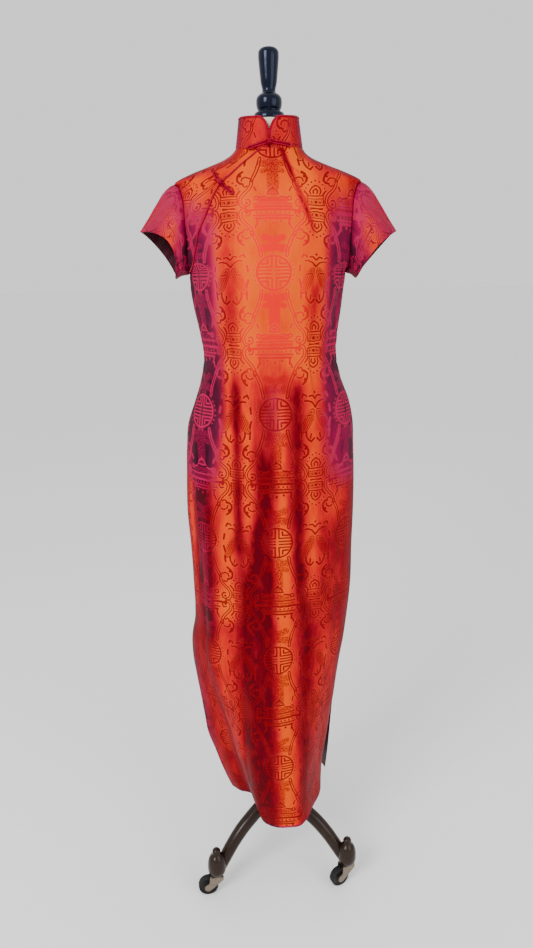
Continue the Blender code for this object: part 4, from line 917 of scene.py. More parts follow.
def cream_cotton_jersey(add, jersey):
    """Cotton jersey, knitted: upright wales over foam, a soft cream face with a little fuzz."""
    place = in_millimetres(add)
    # Wales are 0.8 mm apart and courses 0.6 mm; drawn at 2.0 and 1.6 mm so that they show.
    wale = add(WAVE, place, 1 / (2.0 * BANDS), 0.3, bands_direction="X").outputs["Fac"]
    course = add(WAVE, place, 1 / (1.6 * BANDS), 0.5, bands_direction="Z").outputs["Fac"]
    knit = add(MATH, wale, course, operation="MULTIPLY")
    stain = add(NOISE, place, 0.012, 4.0, 0.6)
    mixed = add(MATH, knit, 0.35, stain, operation="MULTIPLY_ADD")
    colour = add(MIX, mixed, *shades_of(jersey, 0.80, 1.08), data_type="RGBA")
    return surface(add, colour, knit, 0.5, 0.0004, Roughness=0.85, IOR=1.5,
                   Specular_IOR_Level=0.3, Sheen_Weight=0.25, Sheen_Roughness=0.5)


def black_lacquer_on_beech(add, lacquer):
    """Turned beech under blue-black lacquer: a wet gloss with faint turning rings and dust in it."""
    place = in_millimetres(add)
    # Turning rings 1.2 mm apart, left by the gouge.
    ring = add(WAVE, place, 1 / (1.2 * BANDS), 0.6, bands_direction="Z").outputs["Fac"]
    mark = add(RANGE, add(NOISE, place, 0.9, 3.0), 0.35, 0.75)
    rough = add(MATH, mark, 0.12, 0.07, operation="MULTIPLY_ADD")
    colour = add(MIX, mark, *shades_of(lacquer, 0.7, 1.8), data_type="RGBA")
    return surface(add, colour, ring, 0.12, 0.0002, Roughness=rough, IOR=1.52,
                   Specular_IOR_Level=0.28, Specular_Tint=linear("#A8B4D8"), Coat_Weight=0.05,
                   Coat_Roughness=0.04, Coat_IOR=1.5)


def stoved_brown_enamel(add, enamel):
    """Cast iron under stoved brown enamel: near black, glossy, with a shallow orange peel."""
    place = in_millimetres(add)
    # Orange peel about 2.5 mm across, and the casting's own swell, about 20 mm.
    peel = add(NOISE, place, 0.4, 1.0)
    swell = add(NOISE, place, 0.05, 3.0, 0.6)
    rough = add(MATH, swell, 0.24, 0.10, operation="MULTIPLY_ADD")
    colour = add(MIX, swell, *shades_of(enamel, 0.6, 1.5), data_type="RGBA")
    return surface(add, colour, peel, 0.25, 0.0003, Roughness=rough, IOR=1.5,
                   Specular_IOR_Level=0.2)


def dull_nickel_plate(add, nickel):
    """Pressed steel with dull nickel plate: a warm grey metal, tarnished in patches and scratched."""
    place = in_millimetres(add)
    tarnish = add(NOISE, place, 0.16, 4.0, 0.65)
    # Handling scratches 0.5 mm wide, running along the fork.
    scratch = add(NOISE, add(VECTOR, place, (0.25, 2.0, 2.0), operation="MULTIPLY"), 1.0, 2.0)
    rough = add(MATH, tarnish, 0.40, 0.25, operation="MULTIPLY_ADD")
    colour = add(MIX, tarnish, *shades_of(nickel, 0.5, 1.4), data_type="RGBA")
    return surface(add, colour, scratch, 0.15, 0.0002, Roughness=rough, Metallic=1.0)


def bright_drawn_steel(add, steel):
    """Bright steel tube, drawn: fine lines along it that stretch each highlight, and a little oil."""
    # Die lines 0.1 mm wide, drawn at 0.8 mm so that they show.
    line = add(NOISE, add(VECTOR, in_millimetres(add), (1.2, 1.2, 0.02), operation="MULTIPLY"), 1.0, 2.0)
    rough = add(MATH, line, 0.25, 0.12, operation="MULTIPLY_ADD")
    colour = add(MIX, line, *shades_of(steel, 0.75, 1.1), data_type="RGBA")
    return surface(add, colour, line, 0.2, 0.0001, Roughness=rough, Metallic=1.0,
                   Anisotropic=0.4)


def black_moulded_nylon(add, nylon):
    """Nylon wheel, moulded: black with a fine grain, its tread scuffed and dusty."""
    place = in_millimetres(add)
    grain = add(NOISE, place, 1.2, 2.0)
    scuff = add(NOISE, place, 0.35, 4.0, 0.7)
    # The tread: beyond 18 mm from the axle, which lies along Y.
    reach = add(VECTOR, add(VECTOR, place, (1.0, 0.0, 1.0), operation="MULTIPLY"), operation="LENGTH")
    worn = add(MATH, add(RANGE, reach, 18.0, 21.0), scuff, operation="MULTIPLY")
    rough = add(MATH, worn, 0.5, 0.42, operation="MULTIPLY_ADD")
    colour = add(MIX, worn, *shades_of(nylon, 0.8, 3.0), data_type="RGBA")
    return surface(add, colour, grain, 0.2, 0.0002, Roughness=rough, IOR=1.53,
                   Specular_IOR_Level=0.18)


def matt_white_paper(add, paper):
    """Rolled studio paper: matt and almost white, with a faint tooth."""
    tooth = add(NOISE, in_millimetres(add), 0.02, 4.0)
    colour = add(MIX, tooth, *shades_of(paper, 0.985, 1.0), data_type="RGBA")
    return surface(add, colour, tooth, 0.02, 0.0005, Roughness=0.95,
                   Specular_IOR_Level=0.1)


# ---------------------------------------------------------------- the cloth panels


def flat_cloth(points, heights, grain_x):
    """Place of each point on the flat cloth: across from the grain line, and up from the hem.

    It is measured from the lowest row of roundels, and eased so that each row falls in place.
    """
    steps = np.linalg.norm(np.diff(points, axis=1), axis=-1)
    across = np.concatenate((np.zeros((len(points), 1)), np.cumsum(steps, axis=1)), axis=1)
    sign = 1.0 if points[len(points) // 2, -1, 0] > points[len(points) // 2, 0, 0] else -1.0
    for row in range(len(points)):
        middle = np.interp(grain_x * sign, points[row, :, 0] * sign, across[row])
        across[row] -= middle
    known, count = np.transpose(ROUNDEL_ROWS)
    eased = np.interp(heights, known, count)
    eased += np.minimum(heights - known[0], 0.0) / (known[1] - known[0])
    heights = eased * REPEAT_DOWN
    return np.stack((across, np.broadcast_to(heights[:, None], across.shape)), axis=-1)


def panel_grid(face, heights, start, end, columns):
    """Points and s of a panel between two edges given as s for each height."""
    share = np.linspace(0.0, 1.0, columns + 1)[None, :]
    s = start[:, None] * (1 - share) + end[:, None] * share
    return face.rows(heights, s), s


def press_creases(points, s, creases, extra=0.0):
    """The grid with its fine creases pressed in along its own face's direction."""
    z = points[..., 2]
    shift = fold_shift(creases, s, z) + stress_shift(s, z) + extra
    return points - normals_of(points) * shift[..., None]


def banded(points, bands):
    """Sum of soft upright bands of colour, each from an upper to a lower place."""
    x = points[..., 0]
    z = points[..., 2]
    total = np.zeros_like(x)
    for row in bands:
        band = dict(zip(BAND_COLUMNS, row))
        along = np.clip((band["z_top"] - z) / (band["z_top"] - band["z_low"]), 0.0, 1.0)
        centre = band["x_top"] + (band["x_low"] - band["x_top"]) * along
        fade = ramp(z, band["z_top"] + 0.03, band["z_top"] - 0.03) * ramp(z, band["z_low"] - 0.03, band["z_low"] + 0.03)
        total += band["amount"] * fade * bump_at(x, centre, band["half_width"])
    return total


def shot_colour(points, front):
    """How orange (painted highlight), how magenta (painted sheen) and how light in its figure the cloth is at each
    point.
    """
    out = normals_of(points)
    x = points[..., 0]
    z = points[..., 2]
    facing = np.abs(out[..., 1])
    upper = ramp(z, 1.08, 1.22)
    # Painted highlight: more orange above the waist and along the listed bands.
    glow = 0.27 + 0.31 * upper + banded(points, FRONT_ORANGE if front else BACK_ORANGE)
    # Painted shade: the orange dims where the cloth turns away from the front.
    glow *= 0.35 + 0.65 * ramp(facing, 0.25, 0.85)
    # Painted sheen: magenta at the sides and where the cloth turns away.
    side = np.maximum(ramp(np.abs(x), 0.075, 0.120), ramp(facing, 0.75, 0.35))
    magenta = side * ramp(z, 0.86, 1.10) * ramp(z, 1.47, 1.36)
    magenta = np.clip(magenta + banded(points, FRONT_MAGENTA if front else BACK_MAGENTA), 0.0, 1.0)
    # Painted shade: less orange still where the magenta is.
    glow *= 1.0 - 0.42 * magenta * ramp(z, 0.95, 1.15)
    # Painted highlight on the figure: lighter in the upper middle front.
    light = upper * ramp(z, 1.47, 1.42) * ramp(np.abs(x), 0.075, 0.045)
    # The folded edges of the hem and the slits show their weft as painted magenta sheen.
    edge = np.zeros(x.shape)
    edge[:2] = edge[:, :2] = edge[:, -2:] = 0.85
    magenta = np.maximum(magenta, edge * ramp(z, SLIT_TOP_Z + 0.06, SLIT_TOP_Z))
    return np.stack((np.clip(glow, 0.0, 1.0), magenta, light), axis=-1)


def add_sheet(name, points, cloth, shot, dress, node, wrap=False, wall=None):
    """A piece of lined silk on its solid's form, in place of its CAD node."""
    mesh = grid_mesh(name, points, cloth, shot, wrap)
    silk = finish(figured_shot_silk, dress.warp, dress.weft, dress.figure, dress.repeat_across, dress.repeat_down)
    thing = add_piece(name, mesh, "dressed_form", [silk, finish(acetate_lining, dress.lining)],
                      [node], smooth_angle=180.0)
    add_wall(thing, wall or dress.wall)
    return thing


def front_grid():
    """The front's pressed grid and each row's height along the cloth."""
    heights = np.linspace(0.0, FRONT.length, PANEL_ROWS)
    start = smooth(FRONT.knots, FRONT.opening_s(), heights)
    points, s = panel_grid(FRONT, heights, start, np.ones(PANEL_ROWS), PANEL_COLUMNS)
    return press_creases(points, s, FRONT_CREASES, SEAM_DIP * ramp(s, 0.975, 1.0)), heights


def back_grid():
    """The back's pressed grid and each row's height along the cloth."""
    heights = np.linspace(0.0, BACK.length, PANEL_ROWS)
    points, s = panel_grid(BACK, heights, np.ones(PANEL_ROWS), -np.ones(PANEL_ROWS), PANEL_COLUMNS)
    return press_creases(points, s, BACK_CREASES, SEAM_DIP * ramp(np.abs(s), 0.975, 1.0)), heights


def add_panel(dress, node, grid, front, grain_x):
    """A panel of the body, draped over the form."""
    points, heights = grid()
    return add_sheet(node + "_cloth", points, flat_cloth(points, heights, grain_x), shot_colour(points, front), dress,
                     node)


def make_front_panel(dress):
    return add_panel(dress, "front_panel", front_grid, True, FRONT_GRAIN_X)


def under_front_grid():
    """The under front's pressed grid and each row's height along the cloth."""
    rows = 110
    heights = np.linspace(FRONT.height(UNDERARM - 2), FRONT.length, rows)
    edge = smooth(FRONT.knots, FRONT.opening_s(), heights)
    wide = FRONT.rows(heights, np.tile([-1.0, 1.0], (rows, 1)))
    half_width = (wide[:, 1, 0] - wide[:, 0, 0]) / 2
    points, s = panel_grid(FRONT, heights, -np.ones(rows), edge + UNDERLAP_WIDTH / half_width, 40)
    edge_x = FRONT.rows(heights, edge[:, None])[..., 0]
    past = edge_x - points[..., 0]
    drop = UNDERLAP_DROP * (1 - ramp(past, *UNDERLAP_RISE)) + SEAM_DIP * ramp(-s, 0.975, 1.0)
    return press_creases(points, s, FRONT_CREASES, drop), heights


def make_under_front(dress):
    return add_panel(dress, "under_front", under_front_grid, True, FRONT_GRAIN_X)


def make_back_panel(dress):
    return add_panel(dress, "back_panel", back_grid, False, 0.0)


def add_trim(name, data, trim, *stands_for):
    """A piece of crimson satin that rides with the dress."""
    return add_piece(name, data, "dressed_form",
                     [finish(bias_cut_crimson_satin, trim.satin)], stands_for)


def make_hem_stitches(trim):
    """Short slip stitches that hold the turned-up hem, a little above its edge."""
    for name, grid in (("front_hem_stitches", front_grid), ("back_hem_stitches", back_grid)):
        points, heights = grid()
        row = int(round(np.interp(HEM_TURN, heights, np.arange(len(heights)))))
        out = normals_of(points)[row]
        line = points[row]
        steps = lengths_along(line)
        shape = bmesh.new()
        for place in np.arange(0.006, steps[-1] - 0.006, STITCH_PITCH):
            start, end = (np.array([np.interp(place + move, steps, line[:, i]) for i in range(3)])
                          for move in (-STITCH_LENGTH / 2, STITCH_LENGTH / 2))
            normal = np.array([np.interp(place, steps, out[:, i]) for i in range(3)])
            side = np.cross(normal, end - start)
            side /= np.linalg.norm(side)
            rings = []
            for share in (-0.12, 0.0, 0.5, 1.0, 1.12):
                thick = STITCH_R * (1.0 if 0.0 <= share <= 1.0 else 0.25)
                lift = STITCH_R * 0.4 * math.sin(math.pi * min(max(share, 0.0), 1.0))
                middle = start + (end - start) * share + normal * lift
                rings.append([middle + thick * (side * math.cos(a) + normal * math.sin(a))
                              for a in np.linspace(0.0, 2 * math.pi, 6, endpoint=False)])
            made = [[shape.verts.new(tuple(spot)) for spot in ring] for ring in rings]
            for low, high in zip(made, made[1:]):
                for i in range(6):
                    shape.faces.new((low[i], low[(i + 1) % 6], high[(i + 1) % 6], high[i]))
            shape.faces.new(made[0][::-1])
            shape.faces.new(made[-1])
        bmesh.ops.recalc_face_normals(shape, faces=shape.faces)
        mesh = bpy.data.meshes.new(name)
        shape.to_mesh(mesh)
        shape.free()
        add_trim(name, mesh, trim)


def armhole(side, count, inset=0):
    """The panels' pressed edge from the shoulder tip down the front and up the back, and how far round it is."""
    half = count // 2
    down = np.linspace(SHOULDER_TIP, UNDERARM, half, endpoint=False)
    up = np.linspace(UNDERARM, SHOULDER_TIP, half, endpoint=False)
    front, front_heights = front_grid() if side > 0 else under_front_grid()
    back, back_heights = back_grid()
    edges = ((front[:, -1 - inset] if side > 0 else front[:, inset], front_heights, FRONT.height(down)),
             (back[:, inset] if side > 0 else back[:, -1 - inset], back_heights, BACK.height(up)))
    loop = [np.stack([np.interp(at, heights, edge[:, axis]) for axis in range(3)], axis=-1)
            for edge, heights, at in edges]
    return np.concatenate(loop), np.linspace(0.0, 2 * math.pi, count, endpoint=False)


def sleeve_folds(share, angle):
    """Soft drag folds that fan from the armhole down to the cuff."""
    rise = ramp(share, 0.0, 0.35)[:, None] * (1 - 0.45 * share[:, None])
    fan = angle[None, :] * 7.0 + 2.2 * share[:, None]
    return rise * (0.0016 * np.sin(fan) + 0.0009 * np.sin(2.3 * fan + 1.0))


def make_sleeve(row, dress):
    cut = dict(zip(SLEEVE_COLUMNS, row))
    side = cut["side"]
    rows = 56
    loop, angle = armhole(side, 120)
    loop = loop - (side * ARMHOLE_LAP, 0.0, 0.0)
    top = np.array((cut["top_x"], 0.0, cut["top_z"]))
    low = np.array((cut["low_x"], 0.0, cut["low_z"]))
    chord = (low - top) / np.linalg.norm(low - top)
    inward = np.array((-chord[2] * -side, 0.0, chord[0] * -side))
    bow = np.where(np.sin(angle) > 0, cut["bow_front"], cut["bow_back"])
    cuff = top + (low - top) * ((1 - np.cos(angle)) / 2)[:, None]
    cuff = cuff + inward * (bow * np.sin(angle) ** 2)[:, None]
    cuff[:, 1] = -CUFF_DEPTH * np.sin(angle)
    over = np.maximum(np.cos(angle), 0.0)
    swell = np.stack((side * CAP_SWELL[0] * over, CAP_SWELL[1] * np.sin(angle), CAP_SWELL[2] * over), axis=-1)
    share = np.linspace(0.0, 1.0, rows)
    rise = smooth([r[0] for r in SLEEVE_ROWS], [r[1] for r in SLEEVE_ROWS], share)
    points = loop + (cuff - loop) * share[:, None, None] + swell * rise[:, None, None]
    across = np.linalg.norm(np.roll(loop, -1, axis=0) - loop, axis=1)
    around = np.concatenate(([0.0], np.cumsum(across)))
    length = np.linalg.norm(cuff[0] - loop[0])
    cloth = np.stack((np.tile(around, (rows, 1)), np.tile(-share[:, None] * length, (1, len(around)))), axis=-1)
    cloth += SLEEVE_CUT
    if side < 0:
        points = points[:, ::-1]
        cloth = cloth[:, ::-1]
    points = points + normals_of(points, wrap=True) * (0.0013 * ramp(share, 0.0, 0.15))[:, None, None]
    # The head's seam allowance lies turned in under the panels' edges.
    under = armhole(side, 120, inset=1)[0]
    points[1] = points[0]
    points[0] = (under[::-1] if side < 0 else under) - normals_of(points, wrap=True)[2] * ARMHOLE_TUCK
    turn = angle[::-1] if side < 0 else angle
    points = points + normals_of(points, wrap=True) * sleeve_folds(share, turn)[..., None]
    shot = np.zeros((rows, len(angle), 3))
    # Painted highlight: orange where the sleeve's front and top catch the light; painted magenta sheen elsewhere.
    lit = bump_at(turn[None, :], 1.15 + 0.35 * share[:, None], 0.6) + 0.6 * bump_at(turn[None, :], 0.35, 0.35)
    shot[..., 0] = 0.16 + 0.55 * lit
    shot[..., 1] = 0.95 - 0.65 * lit * ramp(share, 0.05, 0.60)[:, None]
    return add_sheet(cut["name"] + "_cloth", points, cloth, shot, dress, cut["name"],
                     wrap=True)


# ---------------------------------------------------------------- collar, piping and frogs


def collar_point(angle, height, out=0.0):
    """Outer face of the stand collar: angle from the middle front, height 0 to 1."""
    angle = np.asarray(angle, float)
    half_width = COLLAR_BASE["half_width"] * (1 - height) + COLLAR_TOP["half_width"] * height + out
    front = np.abs(COLLAR_BASE["front_y"] * (1 - height) + COLLAR_TOP["front_y"] * height)
    back = np.abs(COLLAR_BASE["back_y"] * (1 - height) + COLLAR_TOP["back_y"] * height)
    deep = np.where(np.cos(angle) > 0, front, back) + out
    mix = np.cos(angle) ** 2
    toward_base = np.where(np.cos(angle) < 0, COLLAR_BACK_Z[0], COLLAR_FRONT_Z[0])
    toward_top = np.where(np.cos(angle) < 0, COLLAR_BACK_Z[1], COLLAR_FRONT_Z[1])
    base = COLLAR_SIDE_Z[0] + (toward_base - COLLAR_SIDE_Z[0]) * mix
    top = COLLAR_SIDE_Z[1] + (toward_top - COLLAR_SIDE_Z[1]) * mix
    x = COLLAR_CENTRE_X + half_width * np.sin(angle)
    return np.stack((x, -deep * np.cos(angle), base + (top - base) * height), axis=-1)


def collar_height(angle):
    """Top of the collar at an angle, as a share of its full height, rounded down at its ends."""
    along = np.minimum(np.abs(angle), np.abs(2 * math.pi - angle)) * COLLAR_BASE["half_width"] - COLLAR_END
    u = np.clip(1 - np.maximum(along, 0.0) / NOTCH_WIDTH, 0.0, 1.0)
    return 1.0 - NOTCH_DROP * (1 - np.sqrt(1 - u * u)) / COLLAR_FULL


def make_collar(dress):
    half_width = COLLAR_BASE["half_width"]
    corner = (COLLAR_END + NOTCH_WIDTH) / half_width
    first = (COLLAR_END + NOTCH_WIDTH * (1 - np.cos(np.linspace(0.0, math.pi / 2, 16)))) / half_width
    rest = np.linspace(corner, 2 * math.pi - corner, 150)[1:-1]
    angles = np.concatenate((first, rest, 2 * math.pi - first[::-1]))
    share = np.linspace(-0.08, 1.0, 16)[:, None]
    points = collar_point(angles[None, :], share * collar_height(angles)[None, :])
    # Cut so that the scrolls, and no roundel, come beside the notch.
    cloth = np.stack(np.broadcast_arrays(angles[None, :] * half_width + COLLAR_CUT[0],
                                         share * COLLAR_FULL + COLLAR_CUT[1]), axis=-1)
    from_front = np.minimum(angles, 2 * math.pi - angles)[None, :]
    shot = np.zeros(points.shape)
    # Painted highlight: most orange a little to each side of the front; painted magenta sheen towards the back.
    shot[..., 0] = 0.20 + 0.34 * bump_at(from_front, 0.45, 0.50)
    shot[..., 1] = 0.20 + 0.50 * ramp(from_front, 0.95, 1.35)
    return add_sheet("collar_cloth", points, cloth, shot, dress, "collar",
                     wall=COLLAR_WALL)


def make_collar_piping(trim):
    radius = trim.collar_cord
    clear = radius + 0.0001
    mid_wall = -COLLAR_WALL / 2
    half_width = COLLAR_BASE["half_width"]
    end_top = collar_height(COLLAR_END / half_width)
    points = [collar_point((COLLAR_END - clear) / half_width, share * end_top, mid_wall)
              for share in (-0.06, 0.10, 0.45, 0.8)]
    for turn in np.linspace(0.0, math.pi / 2, 9):
        along = COLLAR_END - clear + (NOTCH_WIDTH + clear) * (1 - math.cos(turn))
        drop = NOTCH_DROP - (NOTCH_DROP + clear) * math.sin(turn)
        points.append(collar_point(along / half_width, 1 - drop / COLLAR_FULL, mid_wall))
    corner = (COLLAR_END + NOTCH_WIDTH) / half_width
    for angle in np.linspace(corner + 0.10, math.pi, 14):
        points.append(collar_point(angle, 1 + clear / COLLAR_FULL, mid_wall))
    mirrored = [np.array((2 * COLLAR_CENTRE_X - p[0], p[1], p[2])) for p in points[-2::-1]]
    route = finer_route(points + mirrored, 240)
    return add_trim("collar_piping_cord", cord_curve("collar_piping_cord", route, radius), trim, "collar_piping")


def make_opening_piping(trim):
    radius = trim.opening_cord
    heights = np.linspace(FRONT.height(UNDERARM + 0.2), FRONT.length - 0.003, 130)
    s = smooth(FRONT.knots, FRONT.opening_s(), heights)
    here = FRONT.rows(heights, s[:, None])[:, 0]
    inner = FRONT.rows(heights, (s + 0.05)[:, None])[:, 0]
    up = np.gradient(here, axis=0)
    along = unit(here - inner)
    out = unit(np.cross(up, along))
    out *= -np.sign(out[:, 1:2])
    route = here + along * (radius * 0.7) + out * 0.0006
    return add_trim("opening_piping_cord", cord_curve("opening_piping_cord", route, radius), trim, "opening_piping")


def knot_route(middle, out, radius, cord):
    """Endless route of a woven ball knot: three turns round, four ways over and under."""
    across = out.cross(Vector((0.0, 0.0, 1.0))).normalized()
    up = across.cross(out)
    path = radius - cord
    points = []
    for t in np.linspace(0.0, 2 * math.pi, 144, endpoint=False):
        lat = 1.12 * math.cos(4 * t)
        lon = 3 * t
        reach = path + 0.00035 * math.sin(8 * t)
        ring = reach * math.cos(lat)
        points.append(middle + across * (ring * math.cos(lon)) + up * (ring * math.sin(lon))
                      + out * (reach * math.sin(lat)))
    return points


def make_frog(name, knot_middle, out, arms, trim):
    """Woven ball knot with a double-cord arm on each side."""
    cord = trim.frog_cord
    knot = cord_curve(name + "_knot_cord", knot_route(knot_middle, out, KNOT_R, 0.00128), 0.00128, closed=True)
    add_trim(name + "_knot_cord", knot, trim, name + "_knot")
    for arm_name, landed in arms:
        toward = landed[0] - knot_middle
        toward = (toward - out * toward.dot(out)).normalized()
        route = [knot_middle + toward * ARM_ROOT] + landed
        along = (route[-1] - route[1]).normalized()
        across = out.cross(along).normalized() * 0.0018
        nose = route[-1] + along * 0.0010
        there = [point + across for point in route]
        back = [point - across for point in reversed(route)]
        line = there + [nose + across * 0.55, nose - across * 0.55] + back
        cord_data = cord_curve(f"{name}_{arm_name}_cord", finer_route(line, 70), cord)
        add_trim(f"{name}_{arm_name}_cord", cord_data, trim, f"{name}_{arm_name}")


def make_frogs(trim):
    out = Vector((0.0, -1.0, 0.0))
    lift = 0.0017
    face = Vector((COLLAR_CENTRE_X, COLLAR_BASE["front_y"] - 0.0008, COLLAR_FROG_Z))
    arms = []
    for arm_name, side, length, fall in COLLAR_FROG_ARMS:
        route = []
        for share in np.linspace(ARM_LANDING / length, 1.0, 5):
            point = Vector(collar_point(side * length * share / COLLAR_BASE["half_width"], 0.0, lift))
            point.z = face.z - fall * share
            route.append(point)
        arms.append((arm_name, route))
    make_frog("collar_frog", face + out * KNOT_R, out, arms, trim)
    place, out = FRONT.place(*CHEST_FROG_PLACE)
    arms = []
    for arm_name, x_reach, z_reach, under in CHEST_FROG_ARMS:
        route = []
        for share in np.linspace(ARM_LANDING / math.hypot(x_reach, z_reach), 1.0, 4):
            point, normal = FRONT.place(place.x + x_reach * share, place.z + z_reach * share)
            if under:
                opening_x = float(read_row(OPENING, OPENING_COLUMNS, point.z)["x"])
                point = point - normal * UNDERLAP_DROP * (1 - float(ramp(opening_x - point.x, *UNDERLAP_RISE)))
            route.append(point + normal * lift)
        arms.append((arm_name, route))
    make_frog("chest_frog", place + out * (CHEST_KNOT_LIFT + KNOT_R), out, arms, trim)


# ---------------------------------------------------------------- the form


def form_nominal(level, angle):
    """The dress's outer face at angles from the middle front, carried across the armholes."""
    front = np.cos(angle) >= 0
    s = np.arcsin(np.clip(np.sin(angle), -1.0, 1.0)) / (math.pi / 2)
    made = np.zeros(angle.shape + (3,))
    for side in (True, False):
        chosen = front == side
        if level <= UNDERARM:
            point = lower_section(BODY_ROWS[level][0], s[chosen], side)
        else:
            row = list((UPPER_FRONT if side else UPPER_BACK)[level - UNDERARM - 1])
            row[UPPER_COLUMNS.index("side_y")] = 0.0
            row[UPPER_COLUMNS.index("turn")] = 90.0
            share = (level - UNDERARM) / (NECK - UNDERARM)
            point = upper_section(row, s[chosen], UPPER_CENTRE_X + neck_shift(share))
        made[chosen] = np.stack(point[1:], axis=-1)
    return made


def form_rings(sides):
    """Rings of the form from its lower edge to its neck's top."""
    angle = np.linspace(0.0, 2 * math.pi, sides, endpoint=False)
    first = next(i for i, row in enumerate(BODY_ROWS) if row[0] > FORM_BOTTOM_Z)
    rings = []
    for level in range(first, NECK + 1):
        here = form_nominal(level, angle)
        along = form_nominal(level, angle + 0.05) - form_nominal(level, angle - 0.05)
        up = form_nominal(min(level + 1, NECK), angle) - form_nominal(level - 1, angle)
        out = unit(np.cross(along, up))
        ease = read_row(FORM_EASE, FORM_EASE_COLUMNS, here[:, 2])["ease"]
        ease = ease + FORM_FRONT_EASE * np.maximum(np.cos(angle), 0.0) ** 0.5
        rings.append(here - out * ease[:, None])
    lowest = rings[0].copy()
    lowest[:, 2] = FORM_BOTTOM_Z
    rings.insert(0, lowest)
    top = FORM_NECK[-1][0]
    for row in FORM_NECK:
        cut = dict(zip(FORM_NECK_COLUMNS, row))
        tilt = FORM_NECK_TILT * (top - cut["z"]) / (top - FORM_NECK[0][0])
        deep = np.where(np.cos(angle) > 0, -cut["front_y"], cut["back_y"])
        rings.append(np.stack((NECK_CENTRE_X + cut["half_width"] * np.sin(angle), -deep * np.cos(angle),
                               cut["z"] - tilt * np.cos(angle)), axis=-1))
    return np.stack(rings)


def make_form(form):
    rings = form_rings(96)
    knots = lengths_along(rings[:, 24])
    fine = smooth(knots, rings, np.linspace(0.0, knots[-1], 150))
    mesh = grid_mesh("form_jersey", fine, wrap=True)
    shape = bmesh.new()
    shape.from_mesh(mesh)
    shape.verts.ensure_lookup_table()
    count = fine.shape[1]
    shape.faces.new([shape.verts[i] for i in reversed(range(count))])
    total = len(shape.verts)
    shape.faces.new([shape.verts[i] for i in range(total - count, total)])
    shape.to_mesh(mesh)
    shape.free()
    return add_piece("form_jersey", mesh, "dressed_form",
                     [finish(cream_cotton_jersey, form.jersey)], ["form_torso"])


def make_neck_cap(form):
    mesh = turned_mesh("neck_cap_turned", CAP_PROFILE, 64, 4)
    return add_piece("neck_cap_turned", mesh, "dressed_form",
                     [finish(black_lacquer_on_beech, form.lacquer)], ["neck_cap"])


# ---------------------------------------------------------------- the stand


def make_pole_and_tube(stand):
    base = HUB_PROFILE[0][1] + 0.0003
    tube = ((TUBE_BORE, TUBE_TOP_Z - 0.002), (TUBE_BORE + 0.001, TUBE_TOP_Z), (CLAMP_R - 0.0015, TUBE_TOP_Z),
            (CLAMP_R, TUBE_TOP_Z - 0.0015), (CLAMP_R, TUBE_TOP_Z - CLAMP_HEIGHT),
            (TUBE_R, TUBE_TOP_Z - CLAMP_HEIGHT - 0.003), (TUBE_R, base), (TUBE_BORE, base),
            (TUBE_BORE, TUBE_TOP_Z - 0.002))
    add_piece("outer_tube_drawn", turned_mesh("outer_tube_drawn", tube, 48), "base",
              [finish(stoved_brown_enamel, stand.enamel)], ["outer_tube"])
    top = FORM_BOTTOM_Z - 0.0003
    pole = ((0.0, top), (POLE_R - 0.0008, top), (POLE_R, top - 0.0008), (POLE_R, POLE_BOTTOM_Z + 0.0008),
            (POLE_R - 0.0008, POLE_BOTTOM_Z), (0.0, POLE_BOTTOM_Z))
    add_piece("inner_pole_drawn", turned_mesh("inner_pole_drawn", pole, 48), "dressed_form",
              [finish(bright_drawn_steel, stand.steel)], ["inner_pole"])


def leg_mesh():
    """One leg along +X: a tapering curved bar and its turned foot."""
    out = np.linspace(LEG_ROUTE[0][0], LEG_ROUTE[-1][0], 40)
    cut = read_row(LEG_ROUTE, LEG_COLUMNS, out)
    route = np.stack((out, np.zeros_like(out), cut["z"]), axis=-1)
    along = unit(np.gradient(route, axis=0))
    side = np.array((0.0, 1.0, 0.0))
    up = np.cross(side, along)
    turns = np.linspace(0.0, 2 * math.pi, 28, endpoint=False)
    rings = route[:, None] + cut["thickness"][:, None, None] * (
        side * np.cos(turns)[None, :, None] + up[:, None] * np.sin(turns)[None, :, None])
    bar = grid_mesh("leg_bar", rings, wrap=True)
    foot = turned_mesh("leg_foot", BULB_PROFILE, 40, 4)
    foot.transform(Matrix.Translation((FOOT_RADIUS, 0.0, 0.0)))
    shape = bmesh.new()
    shape.from_mesh(bar)
    bmesh.ops.recalc_face_normals(shape, faces=shape.faces)
    shape.from_mesh(foot)
    return mesh_from(shape, "leg_cast")


def make_base(stand):
    enamel = [finish(stoved_brown_enamel, stand.enamel)]
    add_piece("hub_cast", turned_mesh("hub_cast", HUB_PROFILE, 64, 4), "base", enamel, ["hub"])
    leg = leg_mesh()
    for number, angle in enumerate(LEG_ANGLES, start=1):
        add_piece(f"leg_{number}_cast", leg, "base", enamel, [f"leg_{number}"],
                  turn=math.radians(angle - 90.0))


